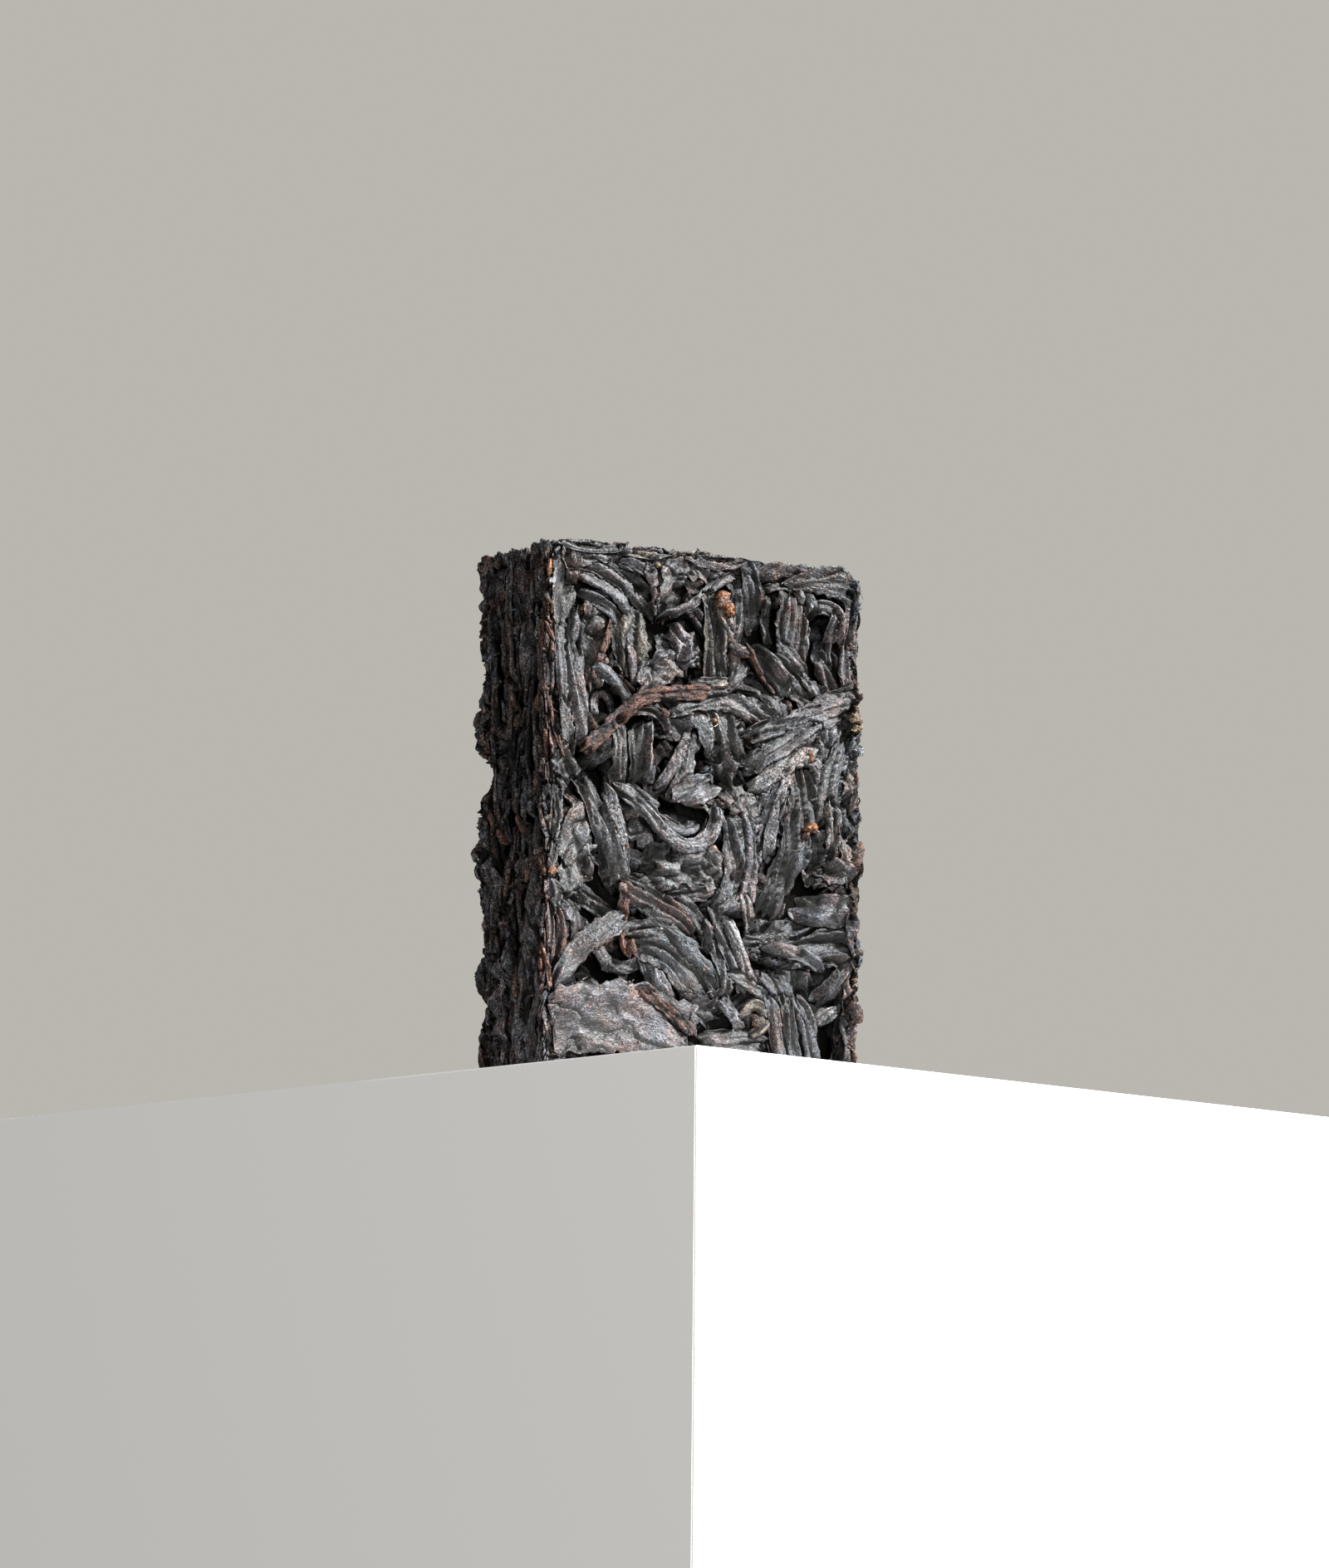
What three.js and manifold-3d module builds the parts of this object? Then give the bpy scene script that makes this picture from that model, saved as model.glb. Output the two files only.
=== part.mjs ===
// A small pressed tea brick that stands on its short end: rolled tea leaves and stems, laid flat and
// pressed in a box mould into one block. The leaves lie parallel to the two wide faces, so the narrow
// faces show them edge-on, as long upright strips. Millimetres, +Z up, origin at the middle of the base.
// -Y is the wide front face.
import * as THREE from "three";
import { mergeVertices } from "three/addons/utils/BufferGeometryUtils.js";
import Module from "manifold-3d";

const wasm = await Module();
wasm.setup();

// The mould that the leaves were pressed in: its inside size, and the round corners of the wide faces.
const WIDTH = 31.4;
const THICKNESS = 12.4;
const HEIGHT = 46;
const SHARP_CORNER_RADIUS = 0.7;
const WORN_CORNER_RADIUS = 2.4;
const CORNER_SEGMENTS = 3;

// The dense core behind the leaves: cells of this size, whose corners lie between these depths behind the
// mould's walls, less deep along the brick's edges than on its faces.
const CORE_CELL = 7.8;
const FACE_DEPTH = [1.0, 1.5];
const EDGE_DEPTH = [0.5, 1.1];
const CORE_SEED = 5;
// The foot of each leaf lies this far behind the wall, inside the core.
const FOOT_DEPTH = 2.0;

// A bent leaf has two stations between its tips, at this share of the way from its middle to a tip. A
// straight one has none.
const BENT_LENGTHS = 3;
const INNER_STATION = 0.48;
// How wide a leaf is as a share of its full width, and how far below its folds: along its middle, at the
// tip that is pointed and tucked under its neighbours, and at the tip that is torn off broad.
const WHOLE = [1, 0];
const POINTED_TIP = [0.5, 0.45];
const TORN_TIP = [0.9, 0.1];

// Cross sections from the top round to the left: how far across, in half widths, and how far below the
// folds. The feet stand in the core.
const FOOT = Infinity;
const ROLLED_SECTION = [[-0.55, 0], [-1.2, FOOT], [1.2, FOOT], [0.6, 0.12]];
const BROAD_SECTION = [[0.1, 0.4], [-0.65, 0], [-1.15, FOOT], [1.15, FOOT], [0.7, 0.1]];
const BROAD_FROM_WIDTH = 2.5;

// Leaves that can be told apart on the front face: middle x and z, length, width, angle from +X towards
// +Z, turn from end to end (both in degrees), and depth of the folds below the mould's wall.
const FRONT_LEAVES = [
  // Bottom left: the broad smooth leaf and what lies round it.
  [-8.6, 4.9, 13.4, 6.4, -3, -14, 0.0],
  [-10.6, 11.4, 7.4, 2.2, 41, -14, 0.1],
  [-14.7, 13.4, 6.0, 1.8, 92, 0, 0.1],
  [-12.9, 13.2, 4.6, 1.7, 100, 0, 0.5],
  [-2.0, 11.2, 8.6, 3.7, -38, 12, 0.1],
  [-4.1, 9.2, 5.4, 2.5, -68, 0, 0.5],
  // Middle left: long upright strips and a pale torn leaf.
  [-12.5, 19.2, 7.4, 3.5, -80, 0, 0.1],
  [-9.4, 21.4, 10.8, 2.4, -72, 10, 0.1],
  [-7.3, 20.4, 7.0, 1.6, -84, 0, 0.4],
  [-15.0, 22.6, 9.6, 1.3, -88, 8, 0.1],
  [-13.0, 26.6, 4.6, 2.4, -35, 20, 0.3],
  [-13.7, 33.6, 10.8, 2.0, -83, -8, 0.3],
  [-11.8, 34.4, 10.6, 2.0, -86, 8, 0.1],
  [-14.7, 37.6, 6.0, 1.8, -90, 0, 0.2],
  // Top left: a flat pressed patch and slanting strips.
  [-13.4, 43.0, 5.4, 4.3, -84, 0, 0.0],
  [-8.4, 43.0, 8.4, 1.8, -25, 6, 0.2],
  [-9.4, 41.2, 5.2, 1.4, -28, 0, 0.4],
  [-6.6, 45.0, 7.2, 2.4, -3, 0, 0.1],
  [-9.8, 37.4, 5.8, 2.0, -86, 0, 0.7],
  [-7.3, 37.4, 5.0, 3.4, -58, 0, 0.3],
  // Top middle.
  [-2.6, 43.2, 5.0, 2.6, 82, -8, 0.2],
  [0.2, 44.5, 5.6, 3.1, -18, 0, 0.1],
  [-0.3, 42.1, 6.4, 1.3, 29, 12, 0.1],
  [-3.3, 36.3, 7.4, 3.1, 40, 18, 0.2],
  [0.8, 38.2, 6.8, 2.4, -84, 0, 0.3],
  [2.9, 38.1, 4.8, 1.7, -72, 0, 0.3],
  [3.7, 40.8, 5.6, 1.6, -86, 0, 0.5],
  [4.7, 42.4, 8.0, 2.2, -72, 12, 0.2],
  // Top right.
  [11.9, 44.4, 6.8, 3.0, -7, -12, 0.1],
  [8.8, 39.7, 5.8, 3.8, -86, 0, 0.3],
  [12.4, 38.3, 6.2, 1.4, -104, 30, 0.4],
  [14.3, 40.0, 7.6, 2.1, -92, 0, 0.2],
  [12.5, 36.4, 5.0, 1.8, -56, 26, 0.3],
  [7.3, 36.8, 5.6, 2.0, -42, 0, 0.2],
  [10.6, 34.6, 4.6, 2.0, -44, 0, 0.3],
  [3.9, 35.7, 3.8, 1.6, 44, 0, 0.1],
  // Middle: the bent leaves round the centre.
  [5.4, 33.4, 5.0, 2.5, -24, -60, 0.3],
  [2.9, 32.8, 8.0, 2.4, -17, -20, 0.1],
  [1.7, 29.9, 5.4, 3.8, -52, 0, 0.1],
  [-7.5, 27.9, 4.8, 1.8, -90, 0, 0.2],
  [-5.3, 27.9, 4.8, 2.5, -86, 0, 0.3],
  [-2.7, 27.3, 6.0, 1.6, 60, 8, 0.3],
  [-0.3, 25.1, 3.4, 2.5, 28, 0, 0.3],
  [3.6, 23.9, 9.6, 3.1, -61, -10, 0.1],
  [-4.7, 23.0, 7.4, 2.1, -38, 16, 0.0],
  [-0.9, 21.9, 6.0, 1.4, 32, 62, 0.3],
  [2.9, 18.8, 7.2, 2.2, -82, -34, 0.1],
  [-0.6, 18.7, 6.0, 3.1, -2, 0, 0.2],
  [-3.9, 15.4, 6.4, 3.2, -38, 14, 0.2],
  [3.1, 12.3, 8.6, 1.7, -74, 14, 0.3],
  [4.9, 9.0, 5.4, 2.0, -34, 0, 0.2],
  // Middle right: the fan of strips and the broad plain leaf.
  [8.2, 31.1, 10.8, 2.5, 21, 10, 0.1],
  [7.0, 28.0, 7.8, 3.1, 30, 0, 0.2],
  [5.6, 24.9, 6.4, 1.3, 62, 0, 0.4],
  [6.9, 23.9, 7.6, 1.4, 66, 6, 0.4],
  [9.2, 21.4, 11.8, 3.1, 71, -14, 0.2],
  [12.6, 27.0, 9.6, 3.0, 64, 14, 0.1],
  [14.4, 21.2, 4.0, 2.4, -62, 0, 0.0],
  [11.4, 20.2, 4.4, 2.4, -80, 0, 0.3],
  // Bottom right.
  [13.1, 16.2, 5.4, 2.9, -3, 0, 0.1],
  [11.2, 12.8, 8.6, 3.4, 6, 12, 0.1],
  [6.3, 13.3, 5.4, 2.1, -10, 0, 0.3],
  [9.4, 9.4, 4.8, 3.1, -36, 0, 0.2],
  [13.4, 9.8, 3.6, 2.4, 58, 0, 0.2],
  [14.6, 6.2, 5.0, 2.0, -78, 0, 0.4],
  [9.7, 5.2, 6.0, 3.0, -85, 0, 0.2],
  [7.2, 5.2, 5.6, 1.4, -76, 0, 0.4],
  [4.9, 6.3, 4.6, 1.6, 8, 74, 0.3],
  [1.2, 6.2, 4.0, 2.4, -20, 0, 0.4],
  [3.4, 3.4, 7.2, 2.5, -4, 0, 0.2],
];

// Stems on the front face, in the same columns.
const FRONT_STEMS = [
  [-6.2, 31.5, 13.4, 1.7, 24, -26, 0.0],
  [-3.1, 6.5, 6.4, 1.2, -36, 0, -0.1],
  [-7.5, 13.9, 5.4, 1.2, -88, 0, 0.3],
  [-14.9, 32.2, 7.4, 1.0, -88, 14, 0.0],
  [1.2, 34.6, 3.8, 0.9, 3, 0, 0.2],
];

// Crumbs of bud and bark on the front face: x, z, size, and how far their middle lies below the mould's
// wall.
const FRONT_CRUMBS = [
  [1.8, 41.5, 2.2, 0.6],
  [14.6, 32.7, 1.6, 0.4],
  [10.3, 23.0, 1.6, 0.5],
  [14.8, 20.6, 1.8, 0.6],
  [14.7, 7.4, 1.9, 0.5],
  [-6.8, 11.4, 1.6, 0.6],
];

// Strips on the left face, where the layers show edge-on: y, z, and the rest as above, with the angle
// from +Y.
const LEFT_STRIPS = [
  [-4.7, 43.6, 4.4, 2.5, 88, 0, 0.0],
  [-2.9, 39.8, 11.6, 3.0, 95, 0, 0.3],
  [-1.2, 38.6, 13.6, 1.2, 82, 24, 0.1],
  [0.6, 40.6, 10.6, 1.4, 90, 0, 0.2],
  [3.6, 42.0, 4.4, 3.8, 60, 0, 0.2],
  [1.2, 36.4, 6.4, 1.2, 94, 0, 0.2],
  [4.4, 34.6, 9.4, 1.3, 88, 0, 0.3],
  [1.4, 31.4, 4.4, 2.1, 8, 0, 0.2],
  [-4.6, 34.6, 8.0, 1.7, 84, 0, 0.2],
  [-3.1, 27.2, 9.0, 1.6, 96, 0, 0.2],
  [-0.4, 26.6, 6.0, 1.7, 78, 20, 0.3],
  [1.9, 26.4, 6.2, 1.7, 74, 0, 0.3],
  [4.0, 23.2, 7.4, 1.7, 92, 0, 0.2],
  [-4.4, 22.4, 5.4, 2.2, 88, 0, 0.2],
  [0.6, 21.2, 7.0, 1.6, -64, 0, 0.4],
  [-2.2, 21.6, 6.4, 1.4, 96, 0, 0.4],
  [1.0, 17.6, 4.6, 2.5, 84, 0, 0.1],
  [4.2, 17.4, 6.8, 1.4, 50, 0, 0.3],
  [-3.0, 14.0, 5.0, 3.4, 88, 0, 0.2],
  [3.4, 13.2, 5.0, 1.8, 80, 0, 0.4],
  [3.6, 9.9, 5.6, 2.0, -34, 0, 0.3],
  [1.6, 9.6, 5.4, 1.6, -42, 0, 0.2],
  [-2.8, 6.6, 9.0, 3.8, 90, 0, 0.0],
  [2.2, 4.4, 6.4, 3.1, 86, 0, 0.2],
];

// Ragged pieces along the upright edge between the left and back faces: middle z, length, and depth.
const RAGGED_EDGE = [
  [44.0, 3.6, 0.1],
  [37.0, 10.0, 0.7],
  [30.8, 3.6, 0.1],
  [23.7, 2.8, 0.0],
  [18.8, 5.4, 0.2],
  [13.2, 4.6, 1.0],
  [8.9, 3.6, 0.7],
  [4.2, 5.0, 0.8],
];
const RAGGED_WIDTH = 2.2;
const RAGGED_INSET = 1.0;

// Faces as frames: the middle of the base edge, two directions in the face and the way out of it.
const X = new THREE.Vector3(1, 0, 0);
const Y = new THREE.Vector3(0, 1, 0);
const Z = new THREE.Vector3(0, 0, 1);
const FRONT = face(new THREE.Vector3(0, -THICKNESS / 2, 0), X, Z);
const BACK = face(new THREE.Vector3(0, THICKNESS / 2, 0), X.clone().negate(), Z);
const LEFT = face(new THREE.Vector3(-WIDTH / 2, 0, 0), Y.clone().negate(), Z);
const RIGHT = face(new THREE.Vector3(WIDTH / 2, 0, 0), Y, Z);
const TOP = face(new THREE.Vector3(0, 0, HEIGHT), X, Y);

// Rules for the leaves that only fill: a grid of cells on a face with one leaf in each. Angles are in
// degrees.
const FRONT_FILL = {
  columns: 7, rows: 11, low: [-WIDTH / 2, 0], high: [WIDTH / 2, HEIGHT], seed: 11,
  length: [4, 6.5], width: [1.6, 2.8], lean: 90, spread: 80, depth: [0.3, 0.6],
};
const BACK_FILL = {
  columns: 4, rows: 7, low: [-WIDTH / 2, 0], high: [WIDTH / 2, HEIGHT], seed: 23,
  length: [6, 11], width: [2.6, 5.0], lean: 90, spread: 85, depth: [0, 0.5],
};
const RIGHT_FILL = {
  columns: 2, rows: 6, low: [-THICKNESS / 2, 0], high: [THICKNESS / 2, HEIGHT], seed: 37,
  length: [8, 13], width: [3.0, 4.6], lean: 90, spread: 12, depth: [0, 0.5],
};
const TOP_FILL = {
  columns: 3, rows: 3, low: [-WIDTH / 2, -THICKNESS / 2], high: [WIDTH / 2, THICKNESS / 2], seed: 41,
  length: [7, 11], width: [2.4, 4.2], lean: 0, spread: 12, depth: [0, 0.4],
};
// How far a leaf lies from its cell's middle, as a share of the cell, the most that it turns from end to
// end, and the share of leaves that don't turn.
const FILL_JITTER = 0.7;
const FILL_TURN = 36;
const STRAIGHT_SHARE = 0.6;

// Corners closer than this are one.
const SAME_PLACE = 1e-4;

// A face's frame. The way out is to the right of both directions, so that solids keep their outsides out.
function face(origin, across, up) {
  return { origin, across, up, out: new THREE.Vector3().crossVectors(across, up) };
}

// Draws from 0 to 1 that are the same on every run.
function seededDraws(seed) {
  let state = seed;
  return () => {
    state = (state + 0x6d2b79f5) | 0;
    let mixed = Math.imul(state ^ (state >>> 15), state | 1);
    mixed = (mixed + Math.imul(mixed ^ (mixed >>> 7), mixed | 61)) ^ mixed;
    return ((mixed ^ (mixed >>> 14)) >>> 0) / 2 ** 32;
  };
}

// The solid of a closed geometry whose shared vertices are merged.
function solidOf(geometry) {
  geometry.deleteAttribute("normal");
  geometry.deleteAttribute("uv");
  const merged = mergeVertices(geometry, SAME_PLACE);
  return new wasm.Manifold(new wasm.Mesh({
    numProp: 3,
    vertProperties: new Float32Array(merged.attributes.position.array),
    triVerts: new Uint32Array(merged.index.array),
  }));
}

// A strip of leaf along +X with its folds at z = 0: a closed bar of the given section, bent in its own
// plane, with tips that are narrower and lower. Its foot is at z = -foot.
function stripGeometry(length, width, turn, foot, section) {
  const sides = section.length;
  const geometry = new THREE.CylinderGeometry(1, 1, 2, sides, turn === 0 ? 1 : BENT_LENGTHS);
  const position = geometry.attributes.position;
  for (let i = 0; i < position.count; i++) {
    const [side, lengthwise, up] = new THREE.Vector3().fromBufferAttribute(position, i).toArray();
    const atTip = Math.abs(lengthwise) === 1;
    const [narrowing, dip] = !atTip ? WHOLE : lengthwise > 0 ? POINTED_TIP : TORN_TIP;
    const along = (atTip ? lengthwise : Math.sign(lengthwise) * INNER_STATION) / 2;
    const heading = turn * along;
    const reach = turn === 0 ? along * length : (Math.sin(heading) * length) / turn;
    const swing = turn === 0 ? 0 : ((1 - Math.cos(heading)) * length) / turn;
    const corner = Math.round((Math.atan2(side, up) * sides) / (2 * Math.PI) + sides) % sides;
    const isCapMiddle = side === 0 && up === 0;
    const [across, below] = isCapMiddle ? [0, foot / 2] : section[corner];
    const beside = (across * narrowing * width) / 2;
    position.setXYZ(
      i,
      reach - Math.sin(heading) * beside,
      swing + Math.cos(heading) * beside,
      -Math.min(below + dip, foot),
    );
  }
  return geometry;
}

// The solid of one strip laid on a face.
function layStrip(on, [across, up, length, width, angle, turn, depth], section) {
  const radians = THREE.MathUtils.degToRad(angle);
  const along = on.across.clone().multiplyScalar(Math.cos(radians)).addScaledVector(on.up, Math.sin(radians));
  const beside = new THREE.Vector3().crossVectors(on.out, along);
  const middle = on.origin.clone()
    .addScaledVector(on.across, across)
    .addScaledVector(on.up, up)
    .addScaledVector(on.out, -depth);
  const geometry = stripGeometry(length, width, THREE.MathUtils.degToRad(turn), FOOT_DEPTH - depth, section);
  const placed = new THREE.Matrix4().makeBasis(along, beside, on.out).setPosition(middle);
  return solidOf(geometry.applyMatrix4(placed));
}

// The solid of one crumb pressed into a face.
function layCrumb(on, [across, up, size, depth]) {
  const middle = on.origin.clone()
    .addScaledVector(on.across, across)
    .addScaledVector(on.up, up)
    .addScaledVector(on.out, -depth);
  return solidOf(new THREE.IcosahedronGeometry(size / 2, 0).translate(middle.x, middle.y, middle.z));
}

// A leaf's section goes by its width.
function layLeaf(on, leaf) {
  return layStrip(on, leaf, leaf[3] >= BROAD_FROM_WIDTH ? BROAD_SECTION : ROLLED_SECTION);
}

// The left face's strips are listed by y, which runs against that face's own direction.
function leftLeaf([y, z, length, width, angle, turn, depth]) {
  return [-y, z, length, width, 180 - angle, -turn, depth];
}

// The pieces of the ragged edge lie upright on the back face, next to the left face.
function raggedLeaf([z, length, depth]) {
  return [WIDTH / 2 - RAGGED_INSET, z, length, RAGGED_WIDTH, 90, 0, depth];
}

// True where a point of a face lies on one of the listed leaves.
function isCovered(x, y, leaves) {
  return leaves.some(([across, up, length, width, angle]) => {
    const radians = THREE.MathUtils.degToRad(angle);
    const along = (x - across) * Math.cos(radians) + (y - up) * Math.sin(radians);
    const beside = (y - up) * Math.cos(radians) - (x - across) * Math.sin(radians);
    return Math.abs(along) < length / 2 && Math.abs(beside) < width / 2;
  });
}

// Leaves that fill a face by a rule: one in each cell of a grid, unless a listed leaf lies there.
function fillLeaves({ columns, rows, low, high, seed, length, width, lean, spread, depth }, listed = []) {
  const draw = seededDraws(seed);
  const between = ([from, to]) => from + (to - from) * draw();
  const leaves = [];
  for (let row = 0; row < rows; row++) {
    for (let column = 0; column < columns; column++) {
      const across = low[0] + ((high[0] - low[0]) * (column + 0.5 + FILL_JITTER * (draw() - 0.5))) / columns;
      const up = low[1] + ((high[1] - low[1]) * (row + 0.5 + FILL_JITTER * (draw() - 0.5))) / rows;
      const angle = lean + spread * (2 * draw() - 1);
      const turn = draw() < STRAIGHT_SHARE ? 0 : FILL_TURN * (2 * draw() - 1);
      const leaf = [across, up, between(length), between(width), angle, turn, between(depth)];
      if (!isCovered(across, up, listed)) leaves.push(leaf);
    }
  }
  return leaves;
}

// The core: the pressed mass behind the leaves, uneven on every side but the flat base.
function coreSolid() {
  const draw = seededDraws(CORE_SEED);
  const size = [WIDTH, THICKNESS, HEIGHT];
  const cells = size.map((side) => Math.round(side / CORE_CELL));
  const box = new THREE.BoxGeometry(...size, ...cells);
  box.deleteAttribute("normal");
  box.deleteAttribute("uv");
  const geometry = mergeVertices(box, SAME_PLACE);
  const position = geometry.attributes.position;
  for (let i = 0; i < position.count; i++) {
    const corner = new THREE.Vector3().fromBufferAttribute(position, i).toArray();
    const outer = corner.map((value, axis) => Math.abs(value) > size[axis] / 2 - SAME_PLACE);
    const [from, to] = outer.filter((on) => on).length > 1 ? EDGE_DEPTH : FACE_DEPTH;
    const moved = corner.map((value, axis) => {
      const depth = from + (to - from) * draw();
      const isBase = axis === 2 && value < 0;
      return outer[axis] && !isBase ? value - Math.sign(value) * depth : value;
    });
    position.setXYZ(i, ...moved);
  }
  return solidOf(geometry.translate(0, 0, HEIGHT / 2));
}

// The inside of the mould, which no leaf passes: one top corner is worn round.
function mouldSolid() {
  const x = WIDTH / 2;
  const r = SHARP_CORNER_RADIUS;
  const worn = WORN_CORNER_RADIUS;
  const outline = new THREE.Shape()
    .moveTo(-x, 0)
    .lineTo(x, 0)
    .lineTo(x, HEIGHT - worn)
    .absarc(x - worn, HEIGHT - worn, worn, 0, Math.PI / 2, false)
    .lineTo(-x + r, HEIGHT)
    .absarc(-x + r, HEIGHT - r, r, Math.PI / 2, Math.PI, false);
  const geometry = new THREE.ExtrudeGeometry(outline, {
    depth: THICKNESS, bevelEnabled: false, curveSegments: CORNER_SEGMENTS,
  });
  return solidOf(geometry.rotateX(Math.PI / 2).translate(0, THICKNESS / 2, 0));
}

// The brick: every leaf and stem fused to the core, then held inside the mould. Of the closed skins that
// this leaves, only the outermost is kept, so that sealed hollows are filled and loose scraps dropped.
function brickSolid() {
  const pieces = [
    coreSolid(),
    ...FRONT_LEAVES.map((leaf) => layLeaf(FRONT, leaf)),
    ...FRONT_STEMS.map((stem) => layStrip(FRONT, stem, ROLLED_SECTION)),
    ...FRONT_CRUMBS.map((crumb) => layCrumb(FRONT, crumb)),
    ...fillLeaves(FRONT_FILL, FRONT_LEAVES).map((leaf) => layLeaf(FRONT, leaf)),
    ...LEFT_STRIPS.map((strip) => layLeaf(LEFT, leftLeaf(strip))),
    ...RAGGED_EDGE.map((piece) => layLeaf(BACK, raggedLeaf(piece))),
    ...fillLeaves(BACK_FILL).map((leaf) => layLeaf(BACK, leaf)),
    ...fillLeaves(RIGHT_FILL).map((leaf) => layLeaf(RIGHT, leaf)),
    ...fillLeaves(TOP_FILL).map((leaf) => layLeaf(TOP, leaf)),
  ];
  const pressed = wasm.Manifold.union(pieces).intersect(mouldSolid());
  return pressed.decompose().sort((a, b) => b.volume() - a.volume())[0];
}

// A geometry for three.js from a solid.
function geometryOf(solid) {
  const { numProp, numVert, vertProperties, triVerts } = solid.getMesh();
  const corners = new Float32Array(numVert * 3);
  for (let i = 0; i < numVert; i++) {
    corners.set(vertProperties.subarray(i * numProp, i * numProp + 3), i * 3);
  }
  return new THREE.BufferGeometry()
    .setAttribute("position", new THREE.BufferAttribute(corners, 3))
    .setIndex(new THREE.BufferAttribute(triVerts, 1));
}

const leafMaterial = new THREE.MeshStandardMaterial({ color: 0x3c3b3d, roughness: 0.62, metalness: 0 });
const brick = new THREE.Mesh(geometryOf(brickSolid()), leafMaterial);
brick.name = "tea_brick";

const group = new THREE.Group();
group.add(brick);
export default group;
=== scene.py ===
"""Visual model of a small brick of pressed black tea that stands on its short end.

The brick is made the way the real one is: tea leaves, rolled, folded, torn or flat, and stems are laid one
over the other on every wall of a box mould, then pressed against it. Each leaf is a closed sheet of its own.
A leaf drapes over what lies under it, stops at the mould's wall, and presses down what it covers.
Sizes of the tea are in millimetres, and the meshes are made in metres.
"""

import logging
import math
from dataclasses import dataclass, field
from enum import Enum

import bmesh
import bpy
import numpy as np
from mathutils import Matrix, Vector


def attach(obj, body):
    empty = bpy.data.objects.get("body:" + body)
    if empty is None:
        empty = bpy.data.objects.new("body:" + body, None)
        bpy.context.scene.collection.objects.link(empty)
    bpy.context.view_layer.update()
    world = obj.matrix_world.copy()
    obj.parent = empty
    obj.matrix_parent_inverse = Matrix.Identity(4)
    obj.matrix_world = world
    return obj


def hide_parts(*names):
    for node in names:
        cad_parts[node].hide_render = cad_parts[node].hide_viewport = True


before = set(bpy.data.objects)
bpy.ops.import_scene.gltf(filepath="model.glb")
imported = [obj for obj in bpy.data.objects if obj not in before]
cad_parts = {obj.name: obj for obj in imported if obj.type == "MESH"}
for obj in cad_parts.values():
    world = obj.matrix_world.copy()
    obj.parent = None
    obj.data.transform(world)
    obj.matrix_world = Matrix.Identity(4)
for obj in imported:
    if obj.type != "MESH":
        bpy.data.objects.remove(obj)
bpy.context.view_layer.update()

LOG = logging.getLogger("tea_brick")
MM = 0.001
NODE = "tea_brick"


def linear(code: int) -> tuple[float, float, float]:
    """Turns an sRGB hex colour into linear values.

    Args:
        code: the colour as 0xRRGGBB.

    Returns:
        The linear red, green and blue.
    """
    parts = ((code >> shift & 255) / 255 for shift in (16, 8, 0))
    return tuple(p / 12.92 if p <= 0.04045 else ((p + 0.055) / 1.055) ** 2.4 for p in parts)


def placed(name: str, mesh: bpy.types.Mesh) -> bpy.types.Object:
    """Makes an object of a mesh, smooth and at the origin.

    Args:
        name: the object's name.
        mesh: its mesh.

    Returns:
        The object.
    """
    mesh.shade_smooth()
    piece = bpy.data.objects.new(name, mesh)
    bpy.context.scene.collection.objects.link(piece)
    return piece


class Tone(Enum):
    """Colours of the tea, as sRGB."""

    CHARCOAL = 0x343335
    BLUE_BLACK = 0x2F3135
    BLACK = 0x272628
    PALE = 0x3F3E40
    OLIVE = 0x36332E
    BROWN = 0x372E2B
    RUSSET = 0x382722
    PURPLE = 0x362F30
    MAUVE = 0x231E1F
    SOOT = 0x262527
    ORANGE = 0x54351F
    CREAM = 0x6A5C48
    RED = 0x7A2233


class Noise:
    """Smooth lattice noise over two coordinates, the same on every run."""

    SIZE = 256

    def __init__(self, seed: int) -> None:
        """Draws the lattice."""
        self.table = np.random.default_rng(seed).uniform(-1, 1, (self.SIZE, self.SIZE))

    def __call__(self, x: np.ndarray, y: np.ndarray) -> np.ndarray:
        """Gives the noise at points a lattice cell of 1 apart.

        Args:
            x: first coordinates.
            y: second coordinates.

        Returns:
            Values from -1 to 1.
        """
        x, y = np.broadcast_arrays(x, y)
        column, row = np.floor(x).astype(int), np.floor(y).astype(int)
        a, b = x - column, y - row
        a, b = a * a * (3 - 2 * a), b * b * (3 - 2 * b)
        at = lambda i, j: self.table[(column + i) % self.SIZE, (row + j) % self.SIZE]
        near = at(0, 0) * (1 - a) + at(1, 0) * a
        far = at(0, 1) * (1 - a) + at(1, 1) * a
        return near * (1 - b) + far * b

    def facets(self, x: np.ndarray, y: np.ndarray) -> np.ndarray:
        """Gives a surface of flat triangles with sharp folds between them.

        Args:
            x: first coordinates.
            y: second coordinates.

        Returns:
            Values from -1 to 1.
        """
        x, y = np.broadcast_arrays(x, y)
        column, row = np.floor(x).astype(int), np.floor(y).astype(int)
        a, b = x - column, y - row
        at = lambda i, j: self.table[(column + i) % self.SIZE, (row + j) % self.SIZE]
        low = at(0, 0) + a * (at(1, 0) - at(0, 0)) + b * (at(0, 1) - at(0, 0))
        high = at(1, 1) + (1 - a) * (at(0, 1) - at(1, 1)) + (1 - b) * (at(1, 0) - at(1, 1))
        return np.where(a + b < 1, low, high)

    def layered(self, x: np.ndarray, y: np.ndarray, layers: int = 3) -> np.ndarray:
        """Adds up finer and weaker layers of the noise.

        Args:
            x: first coordinates.
            y: second coordinates.
            layers: how many layers there are.

        Returns:
            Values from about -1 to 1.
        """
        total, weight = 0.0, 0.0
        for k in range(layers):
            total = total + self(x * 2**k + 17.3 * k, y * 2**k - 9.1 * k) / 2**k
            weight += 1 / 2**k
        return total / weight


def smooth_step(value: np.ndarray) -> np.ndarray:
    """Goes smoothly from 0 to 1 as the value does."""
    value = np.clip(value, 0, 1)
    return value * value * (3 - 2 * value)


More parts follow.
